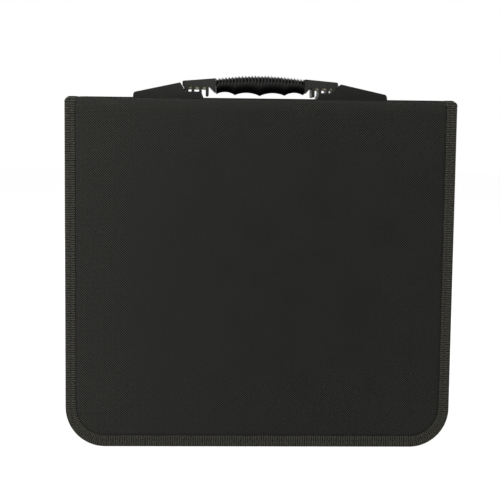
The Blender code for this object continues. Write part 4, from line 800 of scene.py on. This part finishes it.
# Ring mechanism. A channel pressed from sheet steel holds two blades with the half rings, bent
# from rod, and a lever at each end. All of it is bright nickel plated and riveted to the spine.
def nickel_plate(name):
    """Bright nickel on cold-rolled steel: mirror-like with faint rolling streaks along x."""
    material, shader = surface_material(name, 0.2, Metallic=1.0)
    place = add_node(material, "ShaderNodeTexCoord")
    stretch = add_node(material, "ShaderNodeMapping", {"Scale": (12.0, 700.0, 700.0)},
                       {"Vector": place.outputs["Object"]})
    streak = add_node(material, "ShaderNodeTexNoise", {"Scale": 1.0, "Detail": 3.0},
                      {"Vector": stretch.outputs[0]})
    colour = add_node(material, "ShaderNodeMix", {"data_type": "RGBA", 6: linear("#bdb9b2"),
                      7: linear("#d6d3cd")}, {0: streak.outputs[0]})
    rough = add_node(material, "ShaderNodeMapRange", {"To Min": 0.14, "To Max": 0.26},
                     {"Value": streak.outputs[0]})
    material.node_tree.links.new(colour.outputs[2], shader.inputs["Base Color"])
    material.node_tree.links.new(rough.outputs[0], shader.inputs["Roughness"])
    return material


NICKEL = nickel_plate("nickel_plated_steel")
for name in ("ring_base", "ring_base_rivet_left", "ring_base_rivet_right", "blade_front", "blade_back",
             "ring_front_left", "ring_front_centre", "ring_front_right", "ring_back_left",
             "ring_back_centre", "ring_back_right", "ring_lever_left", "ring_lever_right"):
    finish_node(name, NICKEL)

# Disc sleeves. Thirty leaves of white non-woven hang on the rings. Clear film is welded over both
# faces of each, in two columns and two rows of pockets, and oblong holes are punched for the rings.
LEAF_COUNT, LEAF_HALF, LEAF_LOW, LEAF_TOP, STACK_HALF = 30, 0.1497, 0.0153, 0.2878, 0.03295
HOLE_HALF, HOLE_LOW, HOLE_TOP, HOLE_PLACES = 0.0028, 0.2698, 0.2832, np.array([-0.108, 0.0, 0.108])
POCKET_INNER, POCKET_OUTER, POCKET_LOW, POCKET_TOP = 0.0020, 0.1453, 0.0193, 0.2610
ROW_SEAM, ROW_SEAM_HALF = 0.14025, 0.00225
HALF_FILM, POCKET_RISE, RISE_REACH = 0.0003, 0.00062, 0.004
LEAF_WAVE, LEAF_SLIP = 0.00012, 0.00022


def welded_sleeve(name):
    """Clear polypropylene film on white non-woven: a bright even gloss over small pressed dots.

    The dots are cos(2 pi u / p) * cos(2 pi v / p) on UV in mm. They are drawn 3 mm apart.
    """
    material, shader = surface_material(name, 0.34, Coat_Weight=0.35, Coat_Roughness=0.1)
    place = add_node(material, "ShaderNodeUVMap", {"uv_map": "cloth"})
    turns = add_node(material, "ShaderNodeVectorMath", {"operation": "SCALE", "Scale": 2 * math.pi / 3.0},
                     {0: place.outputs[0]})
    waves = add_node(material, "ShaderNodeVectorMath", {"operation": "COSINE"}, {0: turns.outputs[0]})
    parts = add_node(material, "ShaderNodeSeparateXYZ", {}, {0: waves.outputs[0]})
    dots = add_node(material, "ShaderNodeMath", {"operation": "MULTIPLY"},
                    {0: parts.outputs[0], 1: parts.outputs[1]})
    fibre = add_node(material, "ShaderNodeTexNoise", {"Scale": 0.5, "Detail": 5.0},
                     {"Vector": place.outputs[0]})
    factor = add_node(material, "ShaderNodeMath", {"operation": "MULTIPLY_ADD", 1: 0.22, "use_clamp": True},
                      {0: dots.outputs[0], 2: fibre.outputs[0]})
    colour = add_node(material, "ShaderNodeMix", {"data_type": "RGBA", 6: linear("#c3c6c6"),
                      7: linear("#dcdedd")}, {0: factor.outputs[0]})
    bump = add_node(material, "ShaderNodeBump", {"Strength": 0.3, "Distance": 0.00008},
                    {"Height": factor.outputs[0]})
    material.node_tree.links.new(colour.outputs[2], shader.inputs["Base Color"])
    material.node_tree.links.new(bump.outputs[0], shader.inputs["Normal"])
    return material


def leaf_stack(name):
    """Thirty plates on one grid of x and z lines, each with three holes.

    A cell is open where it lies in a hole. Both faces keep the solid cells, and a wall joins them
    wherever a solid cell meets an open one or the edge. The half thickness is 0.3 mm at the welds
    and rises over a pocket by 0.62 mm * (1 - e^(-d / 4 mm)) with the distance d from its weld.
    """
    lines = np.array([POCKET_INNER, 0.0045, 0.009, 0.020, 0.050, 0.072, 0.095, 0.125, 0.136, 0.1425,
                      POCKET_OUTER, LEAF_HALF])
    u = np.sort(np.concatenate([-lines, lines, HOLE_PLACES - HOLE_HALF, HOLE_PLACES + HOLE_HALF]))
    v = np.array([LEAF_LOW, POCKET_LOW, 0.0215, 0.026, 0.040, 0.080, 0.118, 0.131, 0.1355,
                  ROW_SEAM - ROW_SEAM_HALF, ROW_SEAM + ROW_SEAM_HALF, 0.145, 0.150, 0.163, 0.200, 0.240,
                  0.254, 0.2585, POCKET_TOP, 0.2650, HOLE_LOW, HOLE_TOP, LEAF_TOP])
    x, z = np.meshgrid(u, v, indexing="ij")
    gap_x = np.minimum(np.abs(x) - POCKET_INNER, POCKET_OUTER - np.abs(x))
    gap_z = np.minimum(np.minimum(z - POCKET_LOW, POCKET_TOP - z), np.abs(z - ROW_SEAM) - ROW_SEAM_HALF)
    from_weld = np.clip(np.minimum(gap_x, gap_z), 0, 1)
    half = HALF_FILM + POCKET_RISE * (1 - np.exp(-from_weld / RISE_REACH))
    number = np.arange(LEAF_COUNT)[:, None, None]
    y = -STACK_HALF + (number + 0.5) * (2 * STACK_HALF / LEAF_COUNT)
    wave = LEAF_WAVE * np.sin(x * 30 + number) * np.sin(z * 24 + 2 * number)
    slip = LEAF_SLIP * np.sin(number * 2.4)
    faces = [np.stack(np.broadcast_arrays(x + slip, y + wave + way * half, z + slip), axis=-1)
             for way in (-1, 1)]
    points = np.stack(faces, axis=1)
    count = x.size
    cell = np.arange(count).reshape(x.shape)
    solid = np.ones((len(u) - 1, len(v) - 1), dtype=bool)
    mid_u, mid_v = (u[1:] + u[:-1]) / 2, (v[1:] + v[:-1]) / 2
    open_u = (np.abs(mid_u[:, None] - HOLE_PLACES) < HOLE_HALF).any(axis=1)
    solid[np.ix_(open_u, (mid_v > HOLE_LOW) & (mid_v < HOLE_TOP))] = False
    quads = np.stack([cell[:-1, :-1], cell[1:, :-1], cell[1:, 1:], cell[:-1, 1:]], axis=-1)[solid]
    ring = np.pad(solid, 1)
    step_u = ring[1:, 1:-1].astype(int) - ring[:-1, 1:-1]
    step_v = ring[1:-1, 1:].astype(int) - ring[1:-1, :-1]
    line_u = np.stack([cell[:, :-1], cell[:, 1:]], axis=-1)
    line_v = np.stack([cell[:-1, :], cell[1:, :]], axis=-1)
    runs = np.concatenate([line_u[step_u == 1][:, ::-1], line_u[step_u == -1],
                           line_v[step_v == 1], line_v[step_v == -1][:, ::-1]])
    walls = np.stack([runs[:, 0], runs[:, 0] + count, runs[:, 1] + count, runs[:, 1]], axis=-1)
    plate = np.concatenate([quads, quads[:, ::-1] + count, walls])
    every = (plate[None] + (np.arange(LEAF_COUNT) * 2 * count)[:, None, None]).reshape(-1, 4)
    mesh = bpy.data.meshes.new(name)
    flat = points.reshape(-1, 3)
    mesh.from_pydata(flat.tolist(), [], every.tolist())
    mesh.uv_layers.new(name="cloth").data.foreach_set(
        "uv", (flat[every.ravel()][:, [0, 2]] * 1000).ravel().astype(np.float32))
    mesh.materials.append(welded_sleeve("polypropylene_film_on_non_woven"))
    stack = bpy.data.objects.new(name, mesh)
    scene.collection.objects.link(stack)
    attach(stack, "spine")
    return stack


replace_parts(leaf_stack("sleeve_leaves"), "sleeve_pages")

# Stage. A white paper floor keeps a soft shadow, and a surround looks white but gives little
# light. Four large soft lamps light the case: the key from the left front, the others from above,
# from the right and from behind.
FLOOR_HALF, FLOOR_GLOW, SURROUND_LIGHT = 6.0, 0.93, 0.30


def seen_directly(material):
    """1 for camera, glossy and transmission rays, and 0 for the rays that only carry light."""
    path = add_node(material, "ShaderNodeLightPath")
    clear = add_node(material, "ShaderNodeMath", {"operation": "ADD"},
                     {0: path.outputs["Is Glossy Ray"], 1: path.outputs["Is Transmission Ray"]})
    return add_node(material, "ShaderNodeMath", {"operation": "ADD", "use_clamp": True},
                    {0: path.outputs["Is Camera Ray"], 1: clear.outputs[0]}).outputs[0]


PAPER = bpy.data.materials.new("white_paper_floor")
PAPER.use_nodes = True
PAPER.node_tree.nodes.clear()
paper = add_node(PAPER, "ShaderNodeBsdfDiffuse", {"Color": linear("#e2e2e0")})
shade = add_node(PAPER, "ShaderNodeBsdfDiffuse", {"Color": (0.2, 0.2, 0.2, 1.0)})
glow = add_node(PAPER, "ShaderNodeEmission", {"Color": (1.0, 1.0, 1.0, 1.0), "Strength": FLOOR_GLOW})
bright = add_node(PAPER, "ShaderNodeAddShader", {}, {0: shade.outputs[0], 1: glow.outputs[0]})
pick = add_node(PAPER, "ShaderNodeMixShader", {},
                {0: seen_directly(PAPER), 1: paper.outputs[0], 2: bright.outputs[0]})
add_node(PAPER, "ShaderNodeOutputMaterial", {}, {0: pick.outputs[0]})
floor_mesh = bpy.data.meshes.new("floor")
floor_mesh.from_pydata([(-FLOOR_HALF, -FLOOR_HALF, 0), (FLOOR_HALF, -FLOOR_HALF, 0),
                        (FLOOR_HALF, FLOOR_HALF, 0), (-FLOOR_HALF, FLOOR_HALF, 0)], [], [(0, 1, 2, 3)])
floor_mesh.materials.append(PAPER)
floor = bpy.data.objects.new("floor", floor_mesh)
scene.collection.objects.link(floor)

world = bpy.data.worlds.new("white_surround")
scene.world = world
world.use_nodes = True
strength = add_node(world, "ShaderNodeMath", {"operation": "MULTIPLY_ADD", 1: 1.0 - SURROUND_LIGHT,
                    2: SURROUND_LIGHT}, {0: seen_directly(world)})
world.node_tree.nodes["Background"].inputs["Color"].default_value = (1.0, 1.0, 1.0, 1.0)
world.node_tree.links.new(strength.outputs[0], world.node_tree.nodes["Background"].inputs["Strength"])


def soft_lamp(name, place, aim, size, power):
    """A square area lamp at a place, turned to a point."""
    lamp = bpy.data.lights.new(name, "AREA")
    lamp.size = size
    lamp.energy = power
    holder = bpy.data.objects.new(name, lamp)
    holder.location = place
    holder.rotation_euler = (Vector(aim) - Vector(place)).to_track_quat("-Z", "Y").to_euler()
    scene.collection.objects.link(holder)


soft_lamp("key_lamp", (-0.95, -1.25, 0.75), (0, 0, 0.17), 1.0, 22)
soft_lamp("top_lamp", (0.1, -0.45, 1.7), (0, 0, 0.3), 1.0, 6)
soft_lamp("side_lamp", (1.5, 0.25, 0.9), (0, 0, 0.17), 1.0, 14)
soft_lamp("back_lamp", (-0.5, 1.6, 1.0), (0, 0, 0.17), 1.0, 16)
scene.view_settings.view_transform = "Standard"
